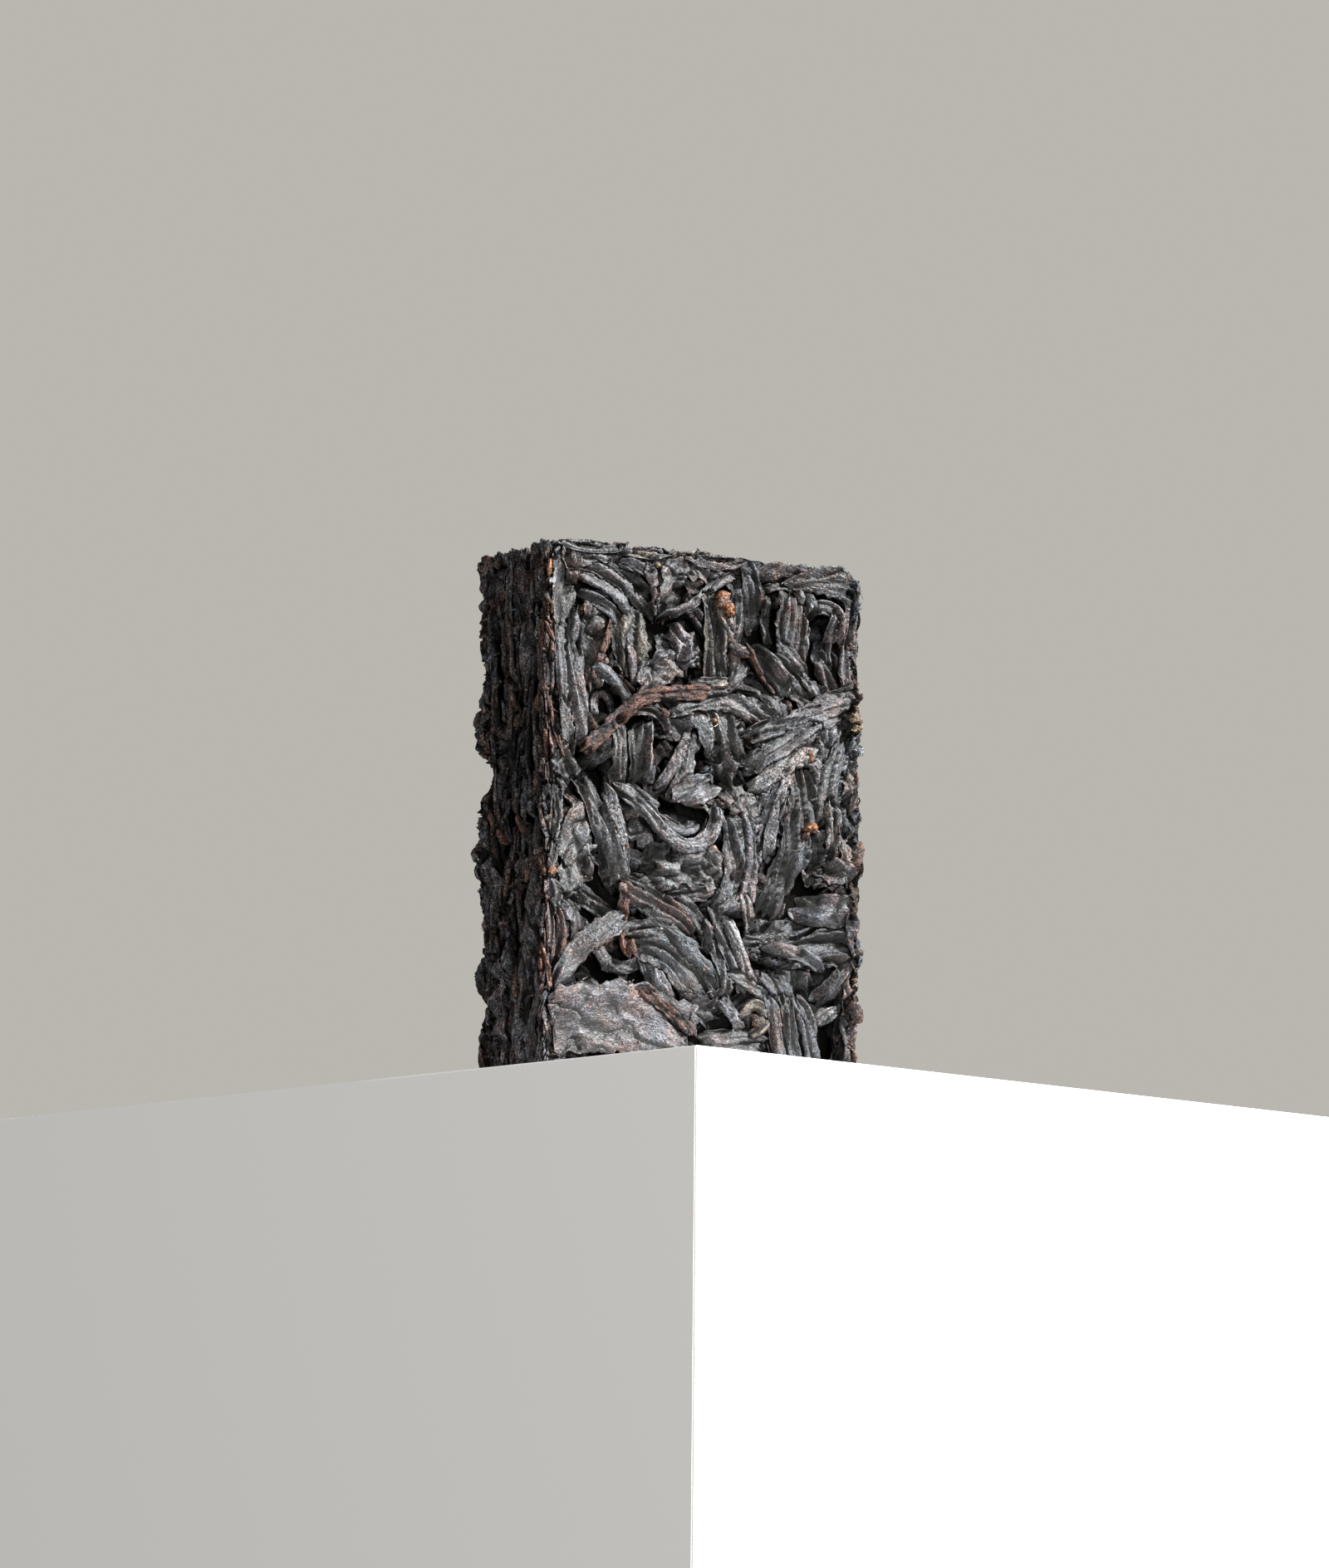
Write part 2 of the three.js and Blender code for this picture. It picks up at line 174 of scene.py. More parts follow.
def blur(values: np.ndarray, along: float, across: float) -> np.ndarray:
    """Smooths a grid with a bell curve along each of its two directions.

    Args:
        values: the grid.
        along: the bell's width down the rows, in cells.
        across: the bell's width along a row, in cells.

    Returns:
        The smoothed grid.
    """
    for width in (along, across):
        places = np.arange(values.shape[0])
        weights = np.exp(-0.5 * ((places[:, None] - places[None, :]) / max(width, 0.3)) ** 2)
        values = (weights / weights.sum(axis=1, keepdims=True) @ values).T
    return values


def turned_edge(past: np.ndarray, radius: float) -> tuple[np.ndarray, np.ndarray]:
    """Rounds the way over an edge.

    Args:
        past: how far past the sharp edge a point is, less than 0 before it.
        radius: how far on either side of the edge the rounding reaches.

    Returns:
        How far the point is past the edge along the first side, 0 at most, and along the second, 0 at least.
    """
    inside = np.clip(past, -radius, radius)
    before = np.where(past < -radius, past, -((radius - inside) ** 2) / (4 * radius))
    after = np.where(past > radius, past, (radius + inside) ** 2 / (4 * radius))
    return before, after


@dataclass(frozen=True)
class Mould:
    """The box mould that the brick was pressed in, by its inside."""

    width: float = 31.4
    thickness: float = 12.4
    height: float = 46.0
    edge: float = 0.3
    lean: float = 2.4
    worn: float = 2.6

    @property
    def around(self) -> float:
        """The length once round the four upright walls."""
        return 2 * (self.width + self.thickness)

    def wear(self, points: np.ndarray) -> np.ndarray:
        """Rounds the upper right corner of the front, which is worn off through the whole thickness.

        Args:
            points: points of the brick, one row each.

        Returns:
            The points, moved.
        """
        past = np.column_stack([points[:, 0] - self.width / 2, points[:, 2] - self.height]) / self.worn + 1
        past = np.maximum(past, 0)
        share = past.max(axis=1) / np.maximum(np.hypot(*past.T), 1e-9)
        share = np.where(past.min(axis=1) > 0, share, 1)[:, None]
        moved = points.copy()
        moved[:, [0, 2]] -= past * (1 - share) * self.worn
        return moved

    def share_past(self, past: np.ndarray) -> np.ndarray:
        """How far the way out has turned from one wall to the next, from 0 to 1."""
        return np.clip((past + self.lean) / (2 * self.lean), 0, 1)


@dataclass(frozen=True)
class Belt:
    """The four upright walls as one strip. u runs round from the front's middle to +X, v is the height."""

    mould: Mould

    def to_space(self, u: np.ndarray, v: np.ndarray, out: np.ndarray) -> np.ndarray:
        """Turns places on the walls into points.

        Args:
            u: how far round.
            v: how high.
            out: how far out of the wall, less than 0 inside.

        Returns:
            The points, one row each.
        """
        m = self.mould
        w, t = m.width / 2, m.thickness / 2
        corners = np.array([(-w, -t), (w, -t), (w, t), (-w, t)])
        ways = np.array([(1, 0), (0, 1), (-1, 0), (0, -1)])
        outs = np.stack([ways[:, 1], -ways[:, 0]], axis=1)
        lengths = np.array([2 * w, 2 * t, 2 * w, 2 * t])
        starts = np.array([0, 2 * w, 2 * w + 2 * t, 4 * w + 2 * t])
        round_way = np.mod(u + w, m.around)
        side = np.searchsorted(starts, round_way, side="right") - 1
        local = round_way - starts[side]
        past_middle = local > lengths[side] / 2
        corner = (side + past_middle) % 4
        past = np.where(past_middle, local - lengths[side], local)
        before, after = turned_edge(past, m.edge)
        place = corners[corner] + ways[corner - 1] * before[:, None] + ways[corner] * after[:, None]
        share = m.share_past(past)[:, None]
        way_out = outs[corner - 1] * (1 - share) + outs[corner] * share
        way_out /= np.linalg.norm(way_out, axis=1, keepdims=True)
        upper = v > m.height / 2
        over = np.where(upper, v - m.height, -v)
        before, after = turned_edge(over, m.edge)
        rise = m.share_past(over)
        flat, steep = 1 - rise, np.where(upper, rise, -rise)
        size = np.hypot(flat, steep)
        height = np.where(upper, m.height + before, -before)
        flat_place = place + way_out * (out * flat / size - after)[:, None]
        return np.column_stack([flat_place, height + out * steep / size])


@dataclass(frozen=True)
class Lid:
    """The top or the base of the brick. u is along +X, and v along +Y on the top or -Y on the base."""

    mould: Mould
    is_top: bool

    def to_space(self, u: np.ndarray, v: np.ndarray, out: np.ndarray) -> np.ndarray:
        """Turns places on the lid into points.

        Args:
            u: how far along +X.
            v: how far beside it.
            out: how far out of the lid, less than 0 inside.

        Returns:
            The points, one row each.
        """
        m = self.mould
        sign = 1 if self.is_top else -1
        flat, tilt, drop = [], [], 0
        for value, half in ((u, m.width / 2), (v * sign, m.thickness / 2)):
            past = np.abs(value) - half
            before, after = turned_edge(past, m.edge)
            flat.append(np.sign(value) * (half + before))
            tilt.append(np.sign(value) * m.share_past(past))
            drop = drop + after
        up = sign * (1 - np.abs(tilt[0])) * (1 - np.abs(tilt[1]))
        way_out = np.column_stack([*tilt, up])
        way_out /= np.linalg.norm(way_out, axis=1, keepdims=True)
        level = (m.height if self.is_top else 0) - sign * drop
        return np.column_stack([*flat, level]) + way_out * out[:, None]


class Terrain:
    """How far out the tea laid so far reaches, over a surface's two coordinates."""

    def __init__(
        self, low: tuple[float, float], high: tuple[float, float], cell: float, closed: bool,
    ) -> None:
        """Makes an empty map of a surface.

        Args:
            low: the lowest coordinates.
            high: the highest.
            cell: how wide a cell is, about.
            closed: whether the map closes on itself along u.
        """
        self.low = np.array(low)
        self.shape = np.maximum(np.round((np.array(high) - low) / cell).astype(int), 2)
        self.cell = (np.array(high) - low) / self.shape
        self.closed = closed

    def blank(self, value: float) -> np.ndarray:
        """A map that holds one value."""
        return np.full(self.shape, value)

    def places(self) -> tuple[np.ndarray, np.ndarray]:
        """The coordinates of the map's cells."""
        u, v = (self.low[k] + (np.arange(self.shape[k]) + 0.5) * self.cell[k] for k in (0, 1))
        return np.meshgrid(u, v, indexing="ij")

    def _column(self, index: np.ndarray) -> np.ndarray:
        """A column's index, round the belt or held at the map's rim."""
        return index % self.shape[0] if self.closed else np.clip(index, 0, self.shape[0] - 1)

    def sample(self, chart: np.ndarray, u: np.ndarray, v: np.ndarray) -> np.ndarray:
        """Reads a map between its cells.

        Args:
            chart: the map.
            u: first coordinates.
            v: second coordinates.

        Returns:
            The map's values there.
        """
        x, y = (u - self.low[0]) / self.cell[0] - 0.5, (v - self.low[1]) / self.cell[1] - 0.5
        column, row = np.floor(x).astype(int), np.floor(y).astype(int)
        a, b = x - column, y - row
        left, right = self._column(column), self._column(column + 1)
        low, high = (np.clip(row + k, 0, self.shape[1] - 1) for k in (0, 1))
        near = chart[left, low] * (1 - a) + chart[right, low] * a
        far = chart[left, high] * (1 - a) + chart[right, high] * a
        return near * (1 - b) + far * b

    def cells(self, u: np.ndarray, v: np.ndarray) -> tuple[np.ndarray, np.ndarray]:
        """Finds the cells that points lie in.

        Args:
            u: first coordinates.
            v: second coordinates.

        Returns:
            The cells' first and second indices.
        """
        column = np.floor((u - self.low[0]) / self.cell[0]).astype(int)
        row = np.floor((v - self.low[1]) / self.cell[1]).astype(int)
        return self._column(column), np.clip(row, 0, self.shape[1] - 1)


@dataclass(frozen=True)
class Shape:
    """How one kind of leaf is formed. Lengths are in millimetres.

    Attributes:
        body: how far its middle stands out over its margins.
        dome: how flat its top is: 2 for round, more for flat.
        fold_run: how long its folds run along it.
        fold_width: how far apart they are.
        fold_depth: how deep they are.
        crumple: how deep the smaller folds on them are.
        twist: how much the folds wind round it.
        stiffness: the length over which it bridges what lies under it.
        tip: the length of its narrowing tips, in widths.
        tip_width: how wide a tip ends, as a share.
        torn: how ragged its margins are, as a share of the width.
        skin: how thick its blade is at the margin.
        pleat: how high the steps are where its pleats lie over each other.
        turned: how high the step is where its margin is turned over.
        veins: how much its veins show.
    """

    body: float
    dome: float
    fold_run: float
    fold_width: float
    fold_depth: float
    crumple: float
    twist: float
    stiffness: float
    tip: float
    tip_width: float
    torn: float
    skin: float
    pleat: float
    turned: float = 0.0
    veins: float = 0.0


class Kind(Enum):
    """The kinds of leaf in the brick."""

    ROLLED = Shape(0.52, 2.4, 4.2, 0.50, 0.55, 0.12, 0.18, 1.1, 0.8, 0.55, 0.12, 0.28, 0.16, 0.14)
    PLEATED = Shape(0.26, 5.0, 4.0, 0.58, 0.60, 0.16, 0.14, 0.8, 0.5, 0.65, 0.14, 0.20, 0.30, 0.14)
    CRUMPLED = Shape(0.24, 5.0, 1.25, 0.80, 0.74, 0.30, 0.30, 0.5, 0.4, 0.60, 0.26, 0.14, 0.0, 0.26)
    DRAPED = Shape(0.36, 3.6, 5.5, 0.75, 0.50, 0.10, 0.30, 0.9, 0.7, 0.50, 0.12, 0.20, 0.42, 0.16)
    SMOOTH = Shape(0.24, 6.0, 2.4, 1.10, 0.44, 0.14, 0.20, 0.9, 0.8, 0.50, 0.12, 0.14, 0.12, 0.18, 0.5)
    FLAT = Shape(0.22, 8.0, 2.6, 1.40, 0.36, 0.12, 0.40, 2.2, 0.7, 0.60, 0.08, 0.14, 0.0, 0.20, 0.4)
    STEM = Shape(0.40, 2.6, 1.4, 0.36, 0.34, 0.20, 0.05, 1.6, 0.5, 0.45, 0.20, 0.40, 0.0)
    SHRED = Shape(0.20, 5.0, 4.6, 0.50, 0.50, 0.18, 0.06, 1.2, 0.6, 0.35, 0.22, 0.16, 0.20, 0.14)


@dataclass(frozen=True)
class Leaf:
    """One leaf: its kind, colour, width, and the places along its middle on the surface that it lies on."""

    TUCK = 0.3
    kind: Kind
    tone: Tone
    width: float
    path: tuple[tuple[float, float], ...]

    def line(self, step: float, bow: float) -> tuple[np.ndarray, np.ndarray, np.ndarray]:
        """Runs a smooth line through the path.

        Args:
            step: how far apart the line's points are.
            bow: how far a straight path is bent, as a share of its length.

        Returns:
            The points, the directions there, and the lengths to them.
        """
        knots = np.array(self.path, float)
        for end, beside in ((0, 1), (-1, -2)):
            outward = knots[end] - knots[beside]
            knots[end] += self.TUCK * outward / np.linalg.norm(outward)
        if len(knots) == 2:
            way = knots[1] - knots[0]
            knots = np.array([knots[0], knots.mean(axis=0) + bow * np.array([-way[1], way[0]]), knots[1]])
        slopes = np.gradient(knots, axis=0)
        slopes[0] = 2 * (knots[1] - knots[0]) - slopes[1]
        slopes[-1] = 2 * (knots[-1] - knots[-2]) - slopes[-2]
        t = np.linspace(0, 1, 24)[:, None]
        hermite = (2 * t**3 - 3 * t**2 + 1, t**3 - 2 * t**2 + t, 3 * t**2 - 2 * t**3, t**3 - t**2)
        held = zip(knots[:-1], slopes[:-1], knots[1:], slopes[1:])
        spans = [sum(share * part for share, part in zip(hermite, parts)) for parts in held]
        dense = np.concatenate([span[:-1] for span in spans] + [knots[-1:]])
        run = np.concatenate([[0], np.cumsum(np.linalg.norm(np.diff(dense, axis=0), axis=1))])
        count = max(6, int(run[-1] / step) + 1)
        at = np.linspace(0, run[-1], count)
        points = np.column_stack([np.interp(at, run, dense[:, k]) for k in (0, 1)])
        ways = np.gradient(points, axis=0)
        return points, ways / np.linalg.norm(ways, axis=1, keepdims=True), at


@dataclass
class LaidLeaf:
    """A leaf that lies on the brick, as rings: the top from one margin to the other, then the underside."""

    piece: str
    u: np.ndarray
    v: np.ndarray
    out: np.ndarray
    across_count: int
    skin: float
    grain: np.ndarray
    colour: np.ndarray
    form: np.ndarray
    veins: np.ndarray


@dataclass
class MeshParts:
    """What one piece's mesh is made of, gathered leaf by leaf."""

    points: list[np.ndarray] = field(default_factory=list)
    quads: list[np.ndarray] = field(default_factory=list)
    triangles: list[np.ndarray] = field(default_factory=list)
    grain: list[np.ndarray] = field(default_factory=list)
    colour: list[np.ndarray] = field(default_factory=list)
    form: list[np.ndarray] = field(default_factory=list)
    veins: list[np.ndarray] = field(default_factory=list)
    count: int = 0

    def add(self, points: np.ndarray, rings: int, leaf: LaidLeaf) -> None:
        """Adds one leaf's rings as a closed sheet.

        Args:
            points: the rings' points, then the middles of the first and last rings.
            rings: how many rings there are.
            leaf: the leaf that they belong to.
        """
        size = (len(points) - 2) // rings
        ring = np.arange(rings - 1)[:, None] * size
        here, after = np.arange(size), (np.arange(size) + 1) % size
        quads = np.stack([ring + here, ring + size + here, ring + size + after, ring + after], axis=-1)
        first, last = rings * size, rings * size + 1
        end = (rings - 1) * size
        caps = [
            np.column_stack([np.full(size, first), here, after]),
            np.column_stack([np.full(size, last), end + after, end + here]),
        ]
        self.points.append(points)
        self.quads.append(quads.reshape(-1, 4) + self.count)
        self.triangles.append(np.concatenate(caps) + self.count)
        for store in ("grain", "colour", "form", "veins"):
            values = getattr(leaf, store)
            flat = values.reshape(-1, values.shape[-1])
            getattr(self, store).append(np.concatenate([flat, flat[:1], flat[-1:]]))
        self.count += len(points)

    def build(self, name: str) -> bpy.types.Object:
        """Makes the piece's object, with its grain in millimetres as a UV map.

        Args:
            name: the piece's name.

        Returns:
            The object.
        """
        points, quads, triangles = map(np.concatenate, (self.points, self.quads, self.triangles))
        corners = np.concatenate([quads.ravel(), triangles.ravel()])
        sizes = np.concatenate([np.full(len(quads), 4), np.full(len(triangles), 3)])
        mesh = bpy.data.meshes.new(name)
        mesh.vertices.add(len(points))
        mesh.vertices.foreach_set("co", (points * MM).ravel())
        mesh.loops.add(len(corners))
        mesh.loops.foreach_set("vertex_index", corners)
        mesh.polygons.add(len(sizes))
        mesh.polygons.foreach_set("loop_start", np.concatenate([[0], np.cumsum(sizes)[:-1]]))
        mesh.polygons.foreach_set("loop_total", sizes)
        mesh.update(calc_edges=True)
        grain = mesh.uv_layers.new(name="grain")
        grain.data.foreach_set("uv", np.concatenate(self.grain)[corners].ravel())
        tone = mesh.attributes.new("leaf_colour", "FLOAT_COLOR", "POINT")
        solid = np.column_stack([np.concatenate(self.colour), np.ones(len(points))])
        tone.data.foreach_set("color", solid.ravel())
        form = mesh.attributes.new("leaf_form", "FLOAT_VECTOR", "POINT")
        form.data.foreach_set("vector", np.concatenate(self.form).ravel())
        veins = mesh.attributes.new("leaf_veins", "FLOAT", "POINT")
        veins.data.foreach_set("value", np.concatenate(self.veins).ravel())
        return placed(name, mesh)


@dataclass(frozen=True)
class Fill:
    """A rule for leaves that only fill: which piece they belong to, where they go and what they are like."""

    piece: str
    low: tuple[float, float]
    high: tuple[float, float]
    count: int
    length: tuple[float, float]
    width: tuple[float, float]
    angle: float
    spread: float
    kinds: tuple[Kind, ...]
    tones: tuple[Tone, ...]
    seed: int
    lift: float = 1.0
    tries: int = 14


class Bed:
    """Leaves laid on one surface of the brick, each over what is there already. Lengths are in mm."""

    # Where the lines of points of a leaf's underside lie across it.
    UNDERSIDE = np.array([0.5, 0.0, -0.5])
    # How softly a leaf comes to rest against the mould's wall.
    FIRMNESS = 0.26
    # How far out the bare ground reaches, and a ceiling that presses on nothing.
    FLOOR = -1.9
    OPEN = 9.0
    # How much closer the points are at the margins than in the middle.
    CROWDING = 1.1
    # How far a straight leaf is bent, as a share of its length, and one that only fills, of half its length.
    BOW, BENT = 0.06, 0.16
    # How far a leaf's tips are pushed in among what lies round them.
    DIP = 0.45
    # How many percent of a leaf come to lie against the wall when it is pressed.
    AT_WALL = 12
    # How much what a leaf bridges lifts it, as a share of its height.
    LIFTED = 0.55
    # How uneven a leaf's body is apart from its folds.
    UNEVEN = 0.2
    # How light a leaf is against its colour, how far each channel strays, and how blotchy it is.
    LIGHTNESS = (1.2, 1.75)
    STRAY = 0.04
    BLOTCHY = 0.38
    # Where a blade's worn margin starts, as a share of the way out from its middle.
    MARGIN = 0.72
    # A blade is a leaf whose dome is flatter than this. It gives way to narrow things under it, a roll not.
    BLADE = 4
    BLADE_GIVES, ROLL_GIVES = 0.45, 2.0
    # How far a covered leaf is kept from the one on it, and how thick that one counts at the most.
    GAP, COVER = 0.03, 0.2
    # How far below the wall a leaf starts to count as deep and to be painted with shade, how much further
    # until that painted shade is full, and until it no longer touched the mould.
    DEEP, DARK, CONTACT = 0.6, 0.75, 0.6

    def __init__(
        self, surface: Belt | Lid, terrain: Terrain, wall: np.ndarray, steps: dict[str, float], noise: Noise,
    ) -> None:
        """Starts with bare ground.

        Args:
            surface: the walls or lid that the leaves lie on.
            terrain: the map for that surface.
            wall: how far out a leaf may reach, on that map.
            steps: how far apart a piece's points are, by piece.
            noise: what makes each leaf uneven.
        """
        self.surface, self.terrain, self.wall, self.steps, self.noise = surface, terrain, wall, steps, noise
        self.ground = terrain.blank(self.FLOOR) + np.minimum(wall, 0)
        self.laid: list[LaidLeaf] = []
        self.hollows = np.empty((0, 3))

    def lay(self, leaf: Leaf, piece: str, lift: float = 1.0) -> None:
        """Lays a leaf over the ground.

        Args:
            leaf: the leaf.
            piece: the piece that it belongs to.
            lift: how much of the way to the mould's wall the pressing moves it.
        """
        shape, step, noise = leaf.kind.value, self.steps[piece], self.noise
        draw = np.random.default_rng([int(100 * abs(x)) for x in (leaf.width, *leaf.path[0], *leaf.path[-1])])
        middle, way, run = leaf.line(step, draw.uniform(-self.BOW, self.BOW))
        count = max(7, int(leaf.width / step) + 2)
        t = np.sin(np.linspace(-1, 1, count) * self.CROWDING) / math.sin(self.CROWDING)
        s, t = np.meshgrid(run, t, indexing="ij")
        seed = draw.uniform(0, 200, 4)
        tip, across, shift = self.outline(leaf, s, t, seed, draw)
        u = middle[:, :1] - way[:, 1:] * across + way[:, :1] * shift
        v = middle[:, 1:] + way[:, :1] * across + way[:, 1:] * shift
        dome = np.sqrt(np.clip(1 - np.abs(t) ** shape.dome, 0, 1))
        rise = shape.body * dome * min(1, 0.45 + leaf.width / 3)
        turned = draw.uniform(-0.7, 0.7) + 0.5 * noise(s / 4 + seed[3], seed[0] + 0 * s)
        rise = rise + shape.turned * smooth_step((t - turned) / 0.09) * draw.uniform(0, 1)
        rise = rise + self.UNEVEN * noise.layered(s / 3.2 + seed[1], across / 1.9 + seed[2], 2)
        base, limit = self.drape(leaf, u, v, step), self.terrain.sample(self.wall, u, v)
        pressed = np.percentile(limit - base - rise, self.AT_WALL) * lift * draw.uniform(0.9, 1)
        base = base + np.maximum(pressed, 0) - self.DIP * (1 - smooth_step(tip * 1.1))[:, None]
        top = limit - self.FIRMNESS * np.logaddexp(0, (limit - base - rise) / self.FIRMNESS)
        depth, crease = self.folds(leaf, s, t, across, seed, draw)
        top = top - depth * (0.3 + 0.7 * dome)
        thirds = np.array_split(np.arange(count), 3)
        low = np.stack([top[:, third].min(axis=1) for third in reversed(thirds)], axis=1) - shape.skin
        under = [np.argmin(np.abs(t[0] - at)) for at in self.UNDERSIDE]
        ring = lambda grid: np.concatenate([grid, grid[:, under]], axis=1)
        hue = np.array(linear(leaf.tone.value)) * draw.uniform(*self.LIGHTNESS)
        hue = hue * (1 + draw.uniform(-self.STRAY, self.STRAY, 3))
        mottle = 1 + self.BLOTCHY * ring(noise.layered(s / 2.0 + seed[0], across / 1.2 + seed[2]))
        margin = smooth_step((np.abs(t) - self.MARGIN) / (1 - self.MARGIN)) * (shape.dome > self.BLADE)
        # Painted shade in the leaf's folds and creases: the deeper the fold, the darker its colour is painted
        # later.
        cavity_shade = np.clip(0.5 * depth / max(shape.fold_depth, 0.2) + 0.8 * crease, 0, 1)
        whole = np.ones((len(run), count + len(under)))
        self.laid.append(LaidLeaf(
            piece, ring(u), ring(v), np.concatenate([top, low], axis=1), count, shape.skin,
            np.stack([ring(s) + seed[0] * 3, ring(across)], axis=-1), mottle[..., None] * hue,
            np.stack([ring(margin), ring(cavity_shade), 0 * whole], axis=-1), shape.veins * whole[..., None],
        ))
        np.maximum.at(self.ground, self.terrain.cells(u, v), top)

    def outline(
        self, leaf: Leaf, s: np.ndarray, t: np.ndarray, seed: np.ndarray, draw: np.random.Generator,
    ) -> tuple[np.ndarray, np.ndarray, np.ndarray]:
        """Gives a leaf its ragged margins and its narrowing, torn tips.

        Args:
            leaf: the leaf.
            s: lengths along it.
            t: places across it, from -1 to 1.
            seed: where in the noise it lies.
            draw: where the draws come from.

        Returns:
            How far from its tip each row is, from 0 to 1, how far its points lie beside its middle, and how
            far they are moved along it.
        """
        shape, noise, run = leaf.kind.value, self.noise, s[:, 0]
        to_end = np.minimum(run, run[-1] - run)
        tip = np.clip(to_end / (shape.tip * leaf.width), 0, 1)
        ends = np.clip(shape.tip_width + draw.uniform(-0.25, 0.35, 2), 0.12, 0.95)
        blunt = np.where(run > run[-1] / 2, ends[0], ends[1])
        narrow = blunt + (1 - blunt) * np.sqrt(tip * (2 - tip))
        ragged = noise.layered(s / 2.2 + seed[0], np.sign(t) * 9 + seed[1])
        ragged = ragged + 0.7 * noise.facets(s / 0.55 + seed[1], np.sign(t) * 9 + seed[0])
        across = t * leaf.width / 2 * narrow[:, None] * (1 + 1.7 * shape.torn * ragged * np.abs(t))
        uneven = noise.facets(t * leaf.width * 1.3 + seed[2], 0 * s + np.sign(s - run[-1] / 2) * 7)
        shift = (1 - tip[:, None]) * uneven * min(leaf.width, 2.2) * (0.22 + shape.torn)
        return tip, across, shift

    def drape(self, leaf: Leaf, u: np.ndarray, v: np.ndarray, step: float) -> np.ndarray:
        """How far out the ground holds a leaf, which bridges what is narrower than it is stiff.

        Args:
            leaf: the leaf.
            u: first coordinates of its points.
            v: second coordinates.
            step: how far apart they are.

        Returns:
            How far out it lies.
        """
        shape = leaf.kind.value
        give = self.BLADE_GIVES if shape.dome > self.BLADE else self.ROLL_GIVES
        under = self.terrain.sample(self.ground, u, v)
        base = blur(under, shape.stiffness / step, give / step)
        return base + self.LIFTED * blur(np.abs(under - base), shape.stiffness / step, give / step)

    def folds(
        self, leaf: Leaf, s: np.ndarray, t: np.ndarray, across: np.ndarray, seed: np.ndarray,
        draw: np.random.Generator,
    ) -> tuple[np.ndarray, np.ndarray]:
        """Folds, creases and pleats a leaf.

        Args:
            leaf: the leaf.
            s: lengths along it.
            t: places across it, from -1 to 1.
            across: the same in millimetres.
            seed: where in the noise it lies.
            draw: where the draws come from.

        Returns:
            How deep its points lie in its folds, and how much each is in a crease, from 0 to 1.
        """
        shape, noise = leaf.kind.value, self.noise
        wound = across + shape.twist * draw.uniform(-1, 1) * s
        wound = wound + 0.3 * noise(s / 2.4 + seed[1], across / 1.4 + seed[3])
        folds = noise.facets(s / shape.fold_run + seed[0], wound / shape.fold_width + seed[2])
        small = noise.facets(s / shape.fold_run * 2.3 + seed[2], wound / shape.fold_width * 2.1 + seed[3])
        gap = noise.layered(s / shape.fold_run * 0.9 + seed[1], wound / shape.fold_width * 0.62 + seed[0], 2)
        crease = np.clip(1 - np.abs(gap) / 0.2, 0, 1) ** 1.3
        depth = shape.fold_depth * 0.75 * (0.4 - folds) + shape.crumple * (0.4 - 0.6 * small)
        depth = np.maximum(depth, 0) + 0.55 * shape.fold_depth * crease
        # The pleats lie over each other like tiles, on one side or the other: a slow rise and then a step.
        fan = wound + t * leaf.width / 2 - across + 0.3 * noise(s / 3 + seed[1], seed[3] + 0 * s)
        tile = np.mod(np.sign(seed[0] - 100) * fan / (1.25 * shape.fold_width), 1)
        return depth + shape.pleat * (1 - tile**1.4), crease

    def candidate(self, rule: Fill, draw: np.random.Generator) -> Leaf:
        """Draws a leaf that a rule allows.

        Args:
            rule: the rule.
            draw: where the draws come from.

        Returns:
            The leaf.
        """
        middle = draw.uniform(rule.low, rule.high)
        length, width = draw.uniform(*rule.length), draw.uniform(*rule.width)
        angle = math.radians(rule.angle + rule.spread * draw.uniform(-1, 1))
        way = np.array([math.cos(angle), math.sin(angle)]) * length / 2
        bow = np.array([-way[1], way[0]]) * draw.normal(0, self.BENT)
        path = tuple(tuple(point) for point in (middle - way, middle + bow, middle + way))
        return Leaf(draw.choice(rule.kinds), draw.choice(rule.tones), width, path)

    def level(self, leaf: Leaf) -> float:
        """Says how high the ground under a leaf is, and adds to it over a hollow that has to stay open.

        Args:
            leaf: the leaf.

        Returns:
            The height against the wall.
        """
        points, way, _ = leaf.line(0.8, 0)
        offsets = np.array([-0.35, 0, 0.35]) * leaf.width
        u = points[:, :1] - way[:, 1:] * offsets
        v = points[:, 1:] + way[:, :1] * offsets
        near = 0
        for x, z, radius in self.hollows:
            near += np.sum(np.hypot(u - x, v - z) < radius + leaf.width * 0.2)
        return float(self.terrain.sample(self.ground - self.wall, u, v).mean() + near)

    def fill(self, rule: Fill) -> None:
        """Lays a rule's leaves, each where the ground is lowest of a few places.

        Args:
            rule: the rule.
        """
        draw = np.random.default_rng(rule.seed)
        for _ in range(rule.count):
            leaf = min((self.candidate(rule, draw) for _ in range(rule.tries)), key=self.level)
            self.lay(leaf, rule.piece, rule.lift * draw.uniform(0.8, 1))

    def press(self) -> None:
        """Presses each leaf down under what was laid on it later, and paints shade on it by how deep it lies.
        """
        ceiling = self.terrain.blank(self.OPEN)
        for leaf in reversed(self.laid):
            cells = self.terrain.cells(leaf.u, leaf.v)
            leaf.out = np.minimum(leaf.out, ceiling[cells] - self.GAP)
            blade = slice(1, leaf.across_count - 1)
            inner = tuple(part[:, blade] for part in cells)
            np.minimum.at(ceiling, inner, leaf.out[:, blade] - min(leaf.skin, self.COVER))
            below = self.terrain.sample(self.wall, leaf.u, leaf.v) - leaf.out
            # Painted shade: the further below the wall a leaf lies, the darker its colour is painted.
            leaf.form[..., 1] = np.maximum(leaf.form[..., 1], np.clip((below - self.DEEP) / self.DARK, 0, 1))
            touched = np.clip(1 - below / self.CONTACT, 0, 1)
            leaf.form[:, : leaf.across_count, 2] = touched[:, : leaf.across_count]

